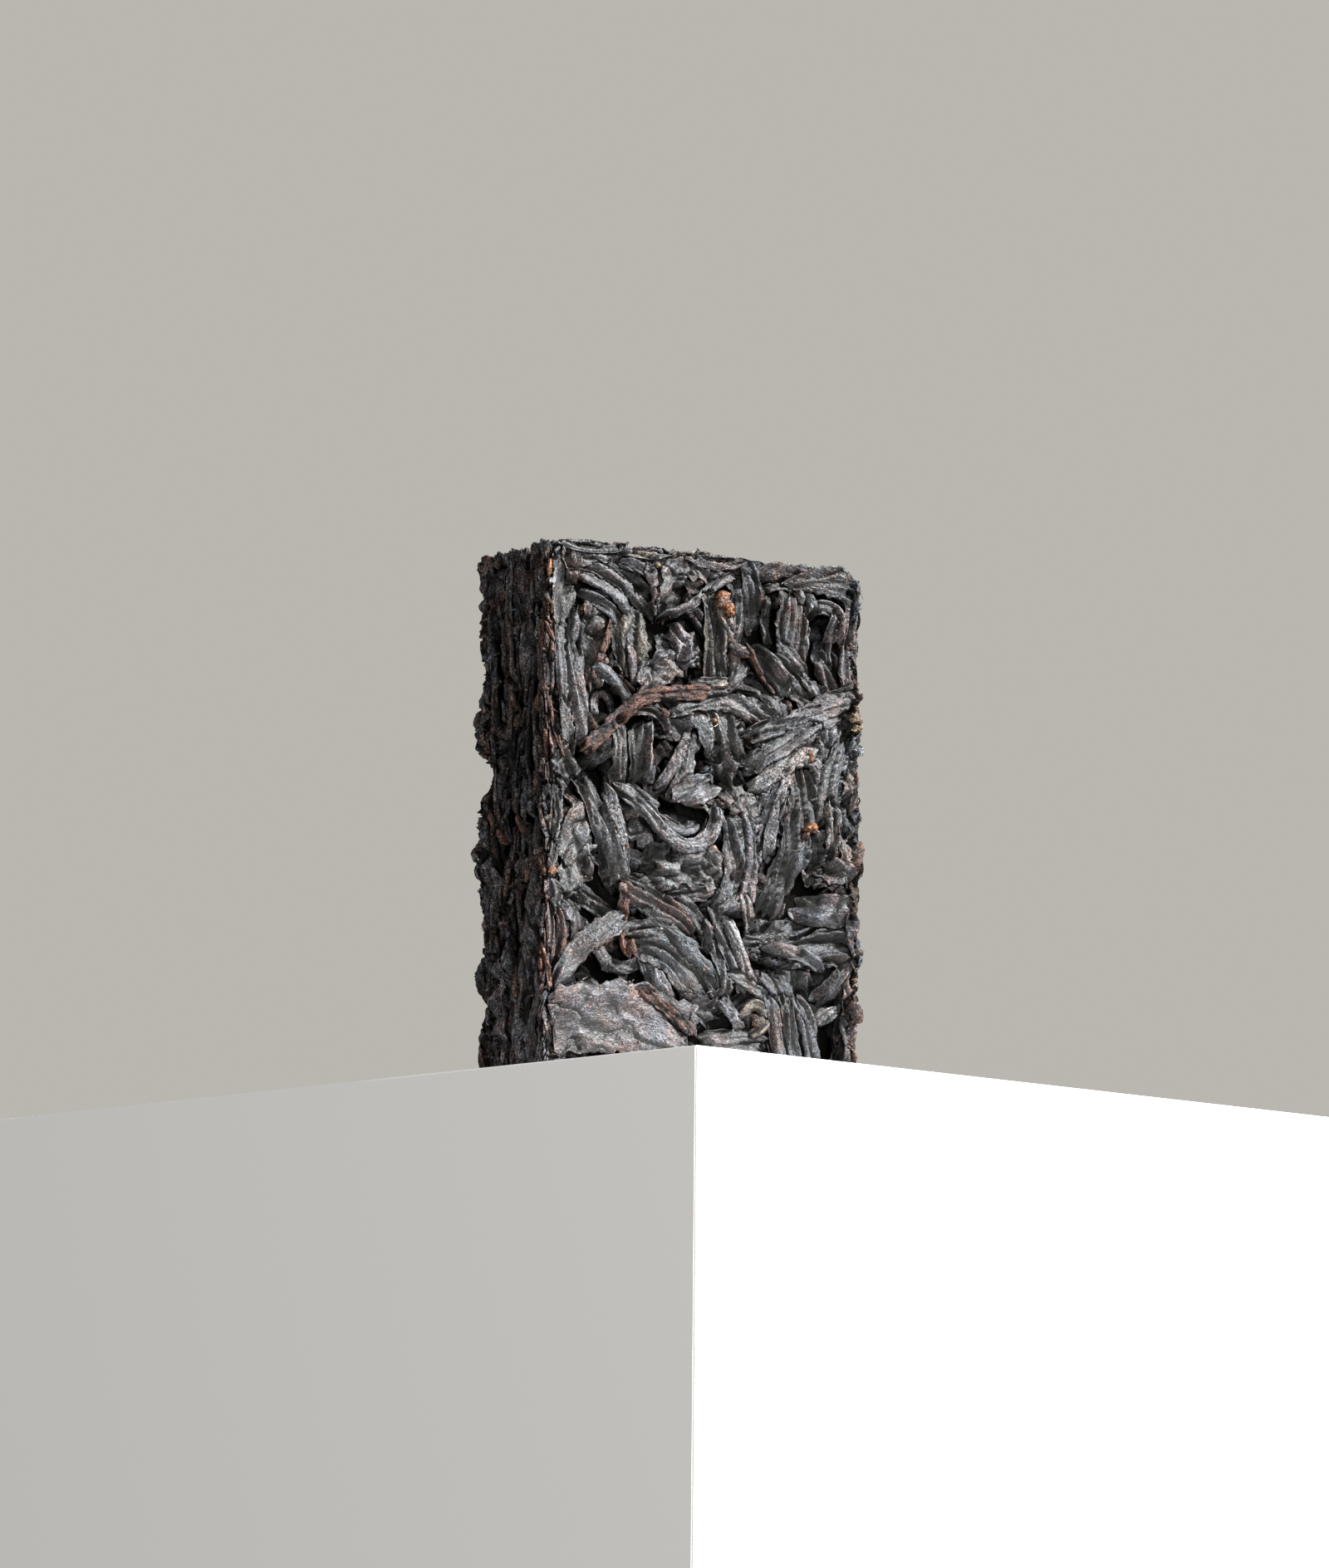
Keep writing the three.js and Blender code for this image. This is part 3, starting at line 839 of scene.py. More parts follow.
    def gather(self, pieces: dict[str, MeshParts]) -> None:
        """Adds the leaves to the pieces that they belong to.

        Args:
            pieces: what each piece is made of, by name.
        """
        for leaf in self.laid:
            rings = leaf.u.shape[0]
            flat = [grid.ravel() for grid in (leaf.u, leaf.v, leaf.out)]
            points = self.surface.mould.wear(self.surface.to_space(*flat))
            size = leaf.u.shape[1]
            ends = [points[:size].mean(axis=0), points[-size:].mean(axis=0)]
            pieces.setdefault(leaf.piece, MeshParts()).add(np.concatenate([points, ends]), rings, leaf)


# Short names for the kinds and colours, for the tables of leaves below.
R, P, C, D, F, W, S, H = Kind
CH, BB, BK, PA, OL, BR, RU, PU, MA, SO, OR, CR, RE = Tone


@dataclass(frozen=True)
class FrontFace:
    """The wide front face, whose leaves can be told apart: kind, colour, width, path of (x, z), lowest first.

    The dark ones lie deeper, in the shade of the others.
    """

    DEPTHS = {BK: 0.62, BR: 0.8, OL: 0.84, CH: 0.92, PU: 0.9, SO: 0.92}

    leaves: tuple = (
        # Left edge, upper half.
        (R, BR, 1.4, (-14.9, 40.2), (-14.9, 36.5), (-14.3, 34.6)),
        (C, BR, 2.2, (-10.5, 40.6), (-10.4, 34.2)),
        (R, CH, 1.4, (-13.6, 39.4), (-13.5, 33.5), (-12.7, 28.0)),
        (R, CH, 1.7, (-12.0, 39.6), (-12.2, 34.2), (-11.2, 28.8)),
        (S, RU, 0.7, (-8.6, 39.9), (-10.0, 36.2), (-10.7, 34.2)),
        (D, OL, 3.6, (-7.6, 40.6), (-6.9, 35.2)),
        (R, CH, 0.9, (-7.0, 36.8), (-6.4, 34.2)),
        (R, BK, 1.2, (-10.4, 35.0), (-8.2, 34.0), (-6.8, 32.2)),
        (R, BK, 0.9, (-10.0, 31.0), (-9.6, 32.9), (-8.6, 33.1), (-8.1, 31.4)),
        # Top left: slanting rolled strips under a wrinkled leaf.
        (R, BK, 1.1, (-11.4, 41.4), (-8.6, 39.7)),
        (R, CH, 1.3, (-12.0, 43.1), (-9.2, 42.0), (-7.5, 40.4)),
        (R, CH, 1.5, (-11.3, 44.0), (-8.0, 42.8), (-5.2, 40.9), (-3.4, 40.2)),
        (R, CH, 1.1, (-9.4, 44.2), (-6.8, 43.2), (-4.8, 41.6)),
        (C, CH, 2.2, (-12.2, 45.0), (-7.0, 45.5)),
        (C, CH, 2.4, (-8.0, 45.1), (-3.2, 44.8)),
        (R, CH, 1.1, (-7.6, 44.3), (-5.2, 43.6)),
        (F, CH, 3.8, (-13.7, 39.4), (-13.6, 46.8)),
        (C, BR, 1.2, (-13.4, 45.2), (-12.6, 42.8)),
        # Top middle.
        (C, CH, 1.9, (-4.8, 44.0), (-4.0, 41.0)),
        (C, PU, 2.6, (-1.6, 43.4), (2.0, 43.2)),
        (C, CH, 3.0, (-1.4, 45.2), (3.4, 44.6)),
        (C, CH, 2.3, (-3.3, 40.6), (-2.9, 43.2), (-2.1, 46.0)),
        (R, PA, 0.9, (-3.6, 40.1), (-1.2, 41.2), (0.8, 42.8), (3.0, 44.2)),
        (R, BR, 1.4, (2.2, 40.4), (3.0, 38.2), (3.3, 35.8)),
        (P, OL, 2.1, (0.7, 42.0), (1.1, 38.6), (1.2, 35.0)),
        (R, SO, 1.5, (3.5, 43.4), (3.6, 38.4)),
        (P, BK, 1.8, (3.9, 46.4), (4.7, 43.2), (5.3, 39.8)),
        # Top right: a wavy folded leaf over a pleated upright one.
        (R, BK, 1.0, (6.7, 42.4), (6.9, 38.2)),
        (R, CH, 1.4, (10.3, 41.0), (10.4, 37.4)),
        (P, SO, 3.2, (8.8, 42.6), (8.9, 37.2)),
        (R, PU, 1.3, (10.4, 41.6), (12.8, 41.7), (13.2, 39.4)),
        (R, PA, 1.0, (10.2, 43.0), (10.9, 41.4)),
        (P, SO, 1.9, (14.3, 44.6), (15.0, 41.0), (14.6, 37.6)),
        (R, PU, 0.9, (13.0, 41.4), (12.3, 38.4), (12.8, 36.8)),
        (R, BK, 1.4, (12.0, 38.8), (12.2, 36.4), (13.6, 34.6)),
        (R, SO, 1.3, (14.4, 38.4), (14.0, 36.2), (15.2, 34.4)),
        (C, CH, 1.8, (6.2, 45.2), (8.5, 45.2)),
        (R, BK, 0.8, (6.4, 43.2), (8.6, 43.6), (9.4, 42.4)),
        (D, SO, 3.6, (8.5, 44.6), (12.0, 45.0), (15.5, 43.6)),
        # Middle left of the centre: the leaves round the reddish stem.
        (C, CH, 3.2, (-5.8, 34.0), (-3.8, 35.8), (-1.4, 38.8)),
        (C, PA, 1.9, (-2.4, 38.6), (-1.4, 35.8)),
        (R, CH, 1.7, (-7.8, 30.2), (-7.7, 25.4)),
        (P, CH, 2.5, (-5.6, 30.2), (-5.6, 26.0)),
        (C, CH, 2.0, (-3.4, 30.6), (-0.8, 30.6)),
        (R, CH, 1.1, (-4.0, 25.4), (-2.4, 28.0), (-1.4, 30.0)),
        (R, CH, 1.3, (-2.9, 24.8), (-1.2, 27.8), (-0.3, 30.4)),
        (R, BR, 0.8, (-6.4, 31.6), (-4.6, 31.6), (-3.4, 30.4)),
        (R, BK, 2.0, (4.2, 35.0), (6.6, 34.2), (7.5, 31.8)),
        (D, CH, 4.2, (0.9, 32.8), (2.0, 30.2), (3.4, 28.0)),
        (P, CH, 2.0, (-2.8, 32.2), (1.0, 33.4), (4.0, 32.8), (7.6, 31.2)),
        (R, OL, 0.9, (-0.6, 34.5), (2.6, 34.8)),
        (R, CH, 1.3, (3.0, 34.5), (5.2, 36.9)),
        (S, RU, 1.4, (-11.4, 28.2), (-8.4, 30.6), (-5.9, 32.7), (-3.0, 33.5), (-0.2, 33.8)),
        # Middle right: folded leaves, a ridge, and the fan of strips.
        (R, CH, 1.5, (7.8, 38.2), (10.4, 36.2)),
        (P, SO, 2.2, (7.0, 36.8), (9.4, 35.0), (11.4, 32.8)),
        (F, BK, 1.9, (5.6, 38.2), (6.9, 36.2), (8.0, 34.4)),
        (S, RU, 0.6, (5.3, 37.8), (6.1, 35.8), (7.2, 34.4)),
        (C, CH, 1.6, (10.6, 35.6), (12.6, 34.0)),
        (R, CH, 1.4, (11.4, 33.6), (15.8, 35.2)),
        (C, CH, 2.6, (10.8, 25.6), (12.0, 28.4), (12.9, 31.6)),
        (R, CH, 1.2, (4.5, 21.2), (5.3, 24.2), (7.4, 27.0)),
        (R, BK, 1.1, (5.3, 19.4), (6.2, 23.0), (8.0, 27.2)),
        (R, CH, 1.2, (6.5, 20.4), (7.3, 24.2), (8.6, 27.8)),
        (R, CH, 1.3, (8.0, 23.6), (9.0, 26.0), (9.7, 28.2)),
        (R, CH, 1.1, (9.8, 28.8), (11.4, 27.4), (10.9, 24.2)),
        (P, CH, 2.2, (5.2, 30.2), (9.6, 32.0), (15.0, 33.8)),
        (D, CH, 2.0, (4.4, 27.8), (7.4, 29.3), (10.9, 31.2)),
        (R, PA, 1.5, (4.9, 25.8), (7.6, 27.7), (10.6, 29.4)),
        (D, SO, 2.8, (11.2, 23.4), (12.6, 26.8), (15.0, 30.6)),
        (C, BR, 2.2, (14.5, 28.6), (14.9, 24.6)),
        (R, PA, 1.6, (12.6, 25.0), (12.8, 20.6)),
        (C, BR, 2.1, (14.4, 22.8), (14.9, 19.4)),
        (C, CH, 2.0, (11.0, 22.6), (11.2, 18.4)),
        (C, SO, 2.1, (12.0, 19.2), (15.6, 18.9)),
        (D, SO, 2.8, (9.8, 27.4), (9.2, 21.8), (7.0, 15.2)),
        # Centre: the rolled hook and what lies round it.
        (C, CH, 2.6, (-7.4, 23.0), (-4.0, 20.4)),
        (C, CH, 2.6, (1.4, 28.2), (3.2, 25.2), (4.8, 21.4)),
        (R, CH, 1.3, (0.8, 24.0), (2.4, 21.6)),
        (F, BB, 2.6, (-2.0, 24.6), (1.2, 26.0)),
        (C, BR, 2.4, (-2.4, 19.9), (2.2, 19.4)),
        (P, CH, 2.1, (-3.4, 16.4), (1.6, 17.2)),
        (C, CH, 3.4, (-4.8, 18.3), (-1.2, 18.6), (2.0, 18.2)),
        (R, CH, 1.5, (4.0, 23.0), (4.8, 19.2), (4.3, 15.8)),
        (P, CH, 2.0, (2.6, 23.4), (3.2, 19.6), (2.6, 16.6), (0.8, 15.2)),
        (R, CH, 1.2, (-6.8, 25.2), (-4.2, 23.2), (-2.2, 22.0), (-0.6, 22.4)),
        (
            R, PA, 1.4,
            (-7.8, 25.0), (-5.4, 23.3), (-3.4, 21.4), (-1.8, 20.6), (-0.2, 20.8), (0.9, 21.9), (1.3, 23.8),
        ),
        # Lower left: long strips, a torn pale leaf and the curled one.
        (R, PU, 1.1, (-15.2, 26.0), (-14.6, 21.0), (-15.2, 16.8)),
        (R, CH, 1.0, (-13.8, 25.0), (-14.2, 20.6), (-14.9, 17.4)),
        (C, CH, 2.2, (-14.8, 28.2), (-12.0, 25.2)),
        (R, BK, 0.9, (-13.6, 25.2), (-11.4, 22.8)),
        (C, PA, 3.3, (-12.3, 21.0), (-11.8, 15.0)),
        (F, CH, 2.8, (-13.2, 19.2), (-10.8, 23.6)),
        (R, CH, 1.3, (-9.0, 24.8), (-7.8, 20.2), (-7.3, 16.6)),
        (P, CH, 1.9, (-11.2, 25.6), (-9.6, 21.4), (-7.7, 16.6)),
        (R, CH, 1.5, (-15.4, 16.6), (-13.9, 15.4), (-14.9, 14.2)),
        (C, BK, 2.2, (-13.0, 14.6), (-10.6, 11.4)),
        (R, BK, 1.7, (-11.0, 16.2), (-8.0, 13.6)),
        (R, BR, 1.3, (-15.0, 14.4), (-14.6, 9.6)),
        (R, RU, 1.0, (-13.7, 14.0), (-13.5, 10.2)),
        (R, BK, 1.4, (-11.0, 9.6), (-9.6, 7.6)),
        (R, CH, 1.3, (-10.0, 11.4), (-7.4, 9.8), (-5.0, 11.4)),
        (S, RU, 1.0, (-7.4, 16.4), (-7.6, 12.4), (-6.6, 11.2)),
        (R, CH, 2.1, (-13.8, 8.0), (-11.2, 11.4), (-8.0, 13.6)),
        # Lower middle: a reddish folded leaf, a smooth dark one and narrow pleats.
        (R, CH, 1.3, (-1.8, 15.8), (0.4, 13.8), (1.8, 11.8)),
        (D, RU, 2.9, (-7.0, 17.2), (-4.6, 15.6), (-1.4, 13.2)),
        (R, CH, 2.0, (-5.4, 11.4), (-4.2, 9.0), (-2.6, 7.4)),
        (C, CH, 2.3, (0.4, 10.4), (2.2, 8.0)),
        (D, BB, 4.0, (-6.4, 12.4), (-3.0, 11.6), (0.6, 8.0)),
        (C, CH, 1.9, (2.2, 14.6), (4.2, 15.8)),
        (R, CH, 1.0, (0.7, 14.0), (2.0, 10.8), (2.4, 8.2)),
        (R, CH, 1.2, (1.4, 15.4), (2.6, 12.0), (3.9, 8.8)),
        (R, PA, 1.1, (2.8, 14.6), (3.8, 11.6), (5.2, 8.8)),
        (R, CH, 1.3, (4.3, 16.2), (5.0, 13.6), (5.8, 11.6)),
        (R, CH, 1.2, (3.2, 9.8), (5.0, 8.8), (6.9, 7.8)),
        (C, CH, 2.4, (-1.4, 7.2), (1.8, 6.4)),
        (R, CH, 1.9, (0.4, 4.0), (6.0, 4.0)),
        (R, CH, 1.2, (2.2, 7.4), (3.8, 5.6)),
        (R, OL, 1.0, (4.2, 6.4), (5.4, 7.4), (6.4, 6.2), (5.2, 5.0)),
        # Lower right.
        (D, BB, 3.4, (5.2, 13.6), (9.6, 13.4), (13.4, 14.6)),
        (C, SO, 3.4, (8.0, 10.4), (10.8, 8.6)),
        (R, SO, 1.3, (6.4, 9.8), (7.8, 8.2)),
        (D, SO, 3.4, (9.4, 11.4), (12.8, 12.8), (16.0, 12.2)),
        (R, SO, 1.3, (6.6, 12.2), (9.2, 12.0), (12.0, 11.0)),
        (F, SO, 2.9, (9.8, 16.1), (16.2, 16.3)),
        (R, SO, 1.9, (12.2, 8.2), (14.6, 11.2)),
        (C, BR, 1.7, (14.9, 9.4), (15.1, 6.4)),
        (R, PA, 1.4, (11.2, 6.2), (13.4, 7.2)),
        (R, SO, 1.4, (14.5, 6.4), (14.9, 2.6)),
        (R, SO, 1.3, (6.7, 8.0), (7.4, 5.0), (7.8, 2.6)),
        (R, SO, 1.3, (8.2, 8.0), (8.9, 5.0), (9.3, 2.6)),
        (R, SO, 1.6, (9.6, 7.8), (10.7, 5.0), (11.0, 2.4)),
        # Bottom left: the broad pale leaf with the stem that was torn off at its edge.
        (C, BR, 2.8, (-14.4, 7.8), (-14.3, 1.2)),
        (W, MA, 6.2, (-13.9, 4.7), (-8.0, 5.4), (-1.4, 4.2)),
        (S, RU, 1.0, (-5.8, 8.0), (-3.2, 6.5), (-0.6, 4.6)),
        # Thin torn strips of bark down the left edge.
        (S, RU, 0.5, (-15.6, 35.6), (-15.5, 31.0), (-14.7, 27.8)),
        (S, RU, 0.45, (-15.2, 35.2), (-15.0, 31.4), (-13.5, 27.4)),
        (S, BR, 0.6, (-15.4, 26.6), (-15.1, 22.4), (-15.5, 17.8)),
    )
    hollows: tuple = (
        (-9.4, 32.4, 0.8), (-4.3, 38.9, 0.9), (5.2, 35.6, 0.7), (11.2, 37.9, 0.7), (4.7, 38.6, 0.9),
        (9.2, 15.4, 1.2), (6.8, 14.6, 0.8), (12.7, 5.0, 1.1), (12.0, 8.6, 0.7), (-10.6, 8.9, 0.6),
        (0.7, 12.0, 0.6), (-9.4, 17.2, 0.8), (-6.0, 42.2, 0.5), (7.2, 44.6, 0.7), (-12.4, 24.4, 0.5),
        (-3.6, 23.5, 0.4), (-8.4, 26.2, 0.6), (0.0, 28.2, 0.5), (-1.6, 22.7, 0.3), (11.0, 19.6, 0.5),
        (4.6, 41.0, 0.4), (-9.7, 15.4, 0.8), (-8.8, 9.4, 0.5), (6.6, 40.6, 0.5), (2.9, 14.9, 0.4),
        (14.4, 33.0, 0.3), (10.6, 41.2, 0.4), (-6.4, 22.6, 0.5), (-5.2, 20.8, 0.5), (-2.6, 19.6, 0.45),
        (4.6, 37.2, 0.7), (11.3, 39.6, 0.6), (11.0, 36.2, 0.6), (-3.2, 39.8, 0.5), (-7.8, 30.9, 0.4),
        (9.6, 17.2, 0.7), (12.0, 10.2, 0.5), (3.2, 18.2, 0.3), (-11.9, 37.0, 0.3),
    )

    def pieces(self) -> list[tuple[Leaf, str]]:
        """The leaves, each with the piece that it belongs to."""
        names = {R: "front_rolled_leaves", P: "front_pleated_leaves", S: "stems"}
        return [
            (Leaf(kind, tone, width, tuple(path)), names.get(kind, "front_broad_leaves"))
            for kind, tone, width, *path in self.leaves
        ]


@dataclass(frozen=True)
class LeftFace:
    """The narrow left face, with layers edge-on: kind, colour, width, path of (y, z), lowest first."""

    leaves: tuple = (
        (H, BK, 1.2, (4.6, 39.0), (4.2, 29.6)),
        (H, BR, 1.4, (-4.9, 39.0), (-4.4, 29.6)),
        (H, BK, 1.1, (1.6, 39.8), (1.0, 32.8)),
        (H, CH, 1.3, (0.6, 46.2), (0.3, 34.6)),
        (H, CH, 1.0, (-0.2, 46.0), (-1.4, 38.6), (-0.6, 31.2)),
        (H, CH, 2.6, (-2.9, 46.2), (-2.7, 34.4)),
        (H, BK, 2.0, (-4.9, 46.2), (-4.8, 40.6)),
        (C, BK, 3.2, (2.8, 44.6), (4.2, 39.8)),
        (H, PU, 1.1, (5.0, 46.4), (5.4, 42.6)),
        (H, CH, 1.3, (-3.4, 32.4), (-2.6, 22.6)),
        (H, CH, 1.4, (2.4, 29.8), (1.2, 23.0)),
        (C, BK, 1.6, (-1.4, 30.8), (3.0, 29.8)),
        (C, BK, 1.5, (-0.8, 28.8), (2.6, 28.6)),
        (H, BK, 1.4, (-0.6, 29.6), (-0.2, 23.0)),
        (H, CH, 1.4, (4.2, 30.6), (3.6, 19.4)),
        (H, PU, 1.0, (4.6, 26.6), (4.2, 18.8)),
        (H, CH, 1.6, (-4.6, 28.4), (-4.4, 19.6)),
        (S, RU, 0.6, (-0.8, 22.4), (-2.2, 20.2)),
        (S, RU, 0.8, (2.4, 21.0), (4.4, 23.4)),
        (S, RU, 1.2, (-4.0, 18.6), (-2.6, 17.6), (-0.6, 16.4)),
        (C, CH, 2.1, (1.0, 20.2), (0.8, 15.0)),
        (H, CH, 1.2, (2.4, 14.8), (4.8, 19.4)),
        (F, CH, 3.4, (-3.2, 17.0), (-3.0, 9.4)),
        (H, CH, 1.4, (3.4, 16.4), (3.2, 10.2)),
        (H, CH, 1.2, (0.4, 15.0), (0.8, 9.2)),
        (H, CH, 1.7, (1.2, 8.4), (4.8, 11.4)),
        (H, CH, 1.3, (-0.6, 7.8), (2.8, 10.6)),
        (C, CH, 3.0, (2.4, 8.4), (2.0, 0.8)),
        (F, CH, 4.0, (-2.8, 11.0), (-2.6, 1.2)),
        (C, RU, 1.1, (0.6, 3.2), (1.8, 2.8)),
        (S, RU, 0.6, (-5.6, 40.4), (-4.8, 35.0), (-4.3, 31.6)),
        (S, BR, 0.5, (-5.0, 38.8), (-4.2, 33.0)),
    )
    hollows: tuple = (
        (2.9, 36.8, 0.6), (2.8, 34.6, 0.6), (-1.8, 42.2, 0.4), (-1.6, 39.6, 0.4), (-2.9, 36.4, 0.4),
        (-3.9, 33.6, 0.4), (3.1, 17.6, 0.8), (1.7, 20.2, 0.6), (0.6, 22.0, 0.4), (-2.8, 20.6, 0.4),
        (2.7, 13.4, 0.4), (-0.2, 11.6, 0.4), (-0.9, 31.6, 0.4), (4.4, 30.6, 0.4), (-3.6, 26.6, 0.3),
    )

    def pieces(self, mould: Mould) -> list[tuple[Leaf, str]]:
        """Places the leaves on the belt, where y runs back from the front left edge.

        Args:
            mould: the mould that they were pressed in.

        Returns:
            The leaves, each with the piece that it belongs to.
        """
        start = -(mould.width + mould.thickness) / 2
        return [
            (
                Leaf(kind, tone, width, tuple((start - y, z) for y, z in path)),
                "stems" if kind is S else "side_layers",
            )
            for kind, tone, width, *path in self.leaves
        ]


@dataclass(frozen=True)
class Crumbs:
    """Buds and crumbs of bark on the front that can be told apart: x, z, length, width, colour."""

    places: tuple = (
        (1.6, 41.8, 1.6, 1.0, OR), (2.3, 41.2, 1.3, 0.9, OR), (3.1, 37.8, 2.4, 1.0, BR),
        (10.4, 22.9, 1.3, 0.9, OR), (10.0, 22.2, 0.8, 0.6, RU), (10.3, 29.1, 1.3, 0.8, OR),
        (14.9, 32.6, 1.3, 0.9, CR), (15.2, 31.8, 0.9, 0.6, CR), (15.2, 20.8, 1.8, 1.0, BR),
        (15.2, 7.4, 1.8, 1.1, RU), (15.4, 12.4, 1.2, 0.8, BR), (8.2, 41.7, 0.4, 0.3, RE),
        (-6.8, 11.4, 1.3, 0.8, RU), (-3.8, 31.6, 1.1, 0.7, RU), (0.9, 31.4, 0.5, 0.4, OR),
        (-14.6, 17.4, 1.2, 0.7, OR), (-15.3, 43.2, 1.4, 0.6, OR), (-15.4, 40.6, 1.2, 0.5, RU),
        (5.6, 6.0, 1.3, 0.9, OL), (-7.4, 20.0, 0.5, 0.4, OR), (-4.6, 44.4, 0.5, 0.4, CR),
    )
    # How deep their middles lie, how thick the thickest is, and which way they are turned, in degrees.
    sunk: float = 0.4
    thickest: float = 1.1
    first_turn: float = 55
    next_turn: float = 47
    rings: int = 12
    columns: int = 14

    def lay(self, mould: Mould, parts: MeshParts) -> None:
        """Adds each crumb as a closed lump with flat facets.

        Args:
            mould: the mould that they were pressed in.
            parts: the piece that they belong to.
        """
        noise = Noise(71)
        belt = Belt(mould)
        for number, (x, z, length, width, tone) in enumerate(self.places):
            lat = np.linspace(0.12, math.pi - 0.12, self.rings)[:, None]
            lon = np.linspace(0, 2 * math.pi, self.columns, endpoint=False)[None, :]
            along = np.cos(lat) + 0 * lon
            beside, outward = np.sin(lat) * np.cos(lon), np.sin(lat) * np.sin(lon)
            lump = 1 + 0.4 * noise.facets(along * 2.3 + 9 * number, beside * 2.1 + outward * 1.7 + number)
            lump = lump + 0.2 * noise.facets(along * 5 - number, beside * 5 + outward * 4)
            turn = math.radians(self.first_turn + self.next_turn * number)
            run, side = along * lump * length / 2, beside * lump * width / 2
            out = outward * lump * min(width, self.thickest) / 2 - self.sunk
            u = x + run * math.cos(turn) - side * math.sin(turn)
            v = z + run * math.sin(turn) + side * math.cos(turn)
            points = mould.wear(belt.to_space(u.ravel(), v.ravel(), np.minimum(out, 0.02).ravel()))
            ends = [points[: self.columns].mean(axis=0), points[-self.columns :].mean(axis=0)]
            # Painted shade: a crumb is darker where it dips in, and near black in its deepest dents.
            hue = np.array(linear(tone.value)) * (0.7 + 0.3 * lump[..., None])
            grain = np.stack([run + 5 * number, side], axis=-1)
            form = np.stack([0 * u, np.clip(1.2 - lump, 0, 1), 0.4 + 0 * u], axis=-1)
            leaf = LaidLeaf("buds", u, v, out, self.columns, 0, grain, hue, form, 0 * u[..., None])
            parts.add(np.concatenate([points, ends]), self.rings, leaf)


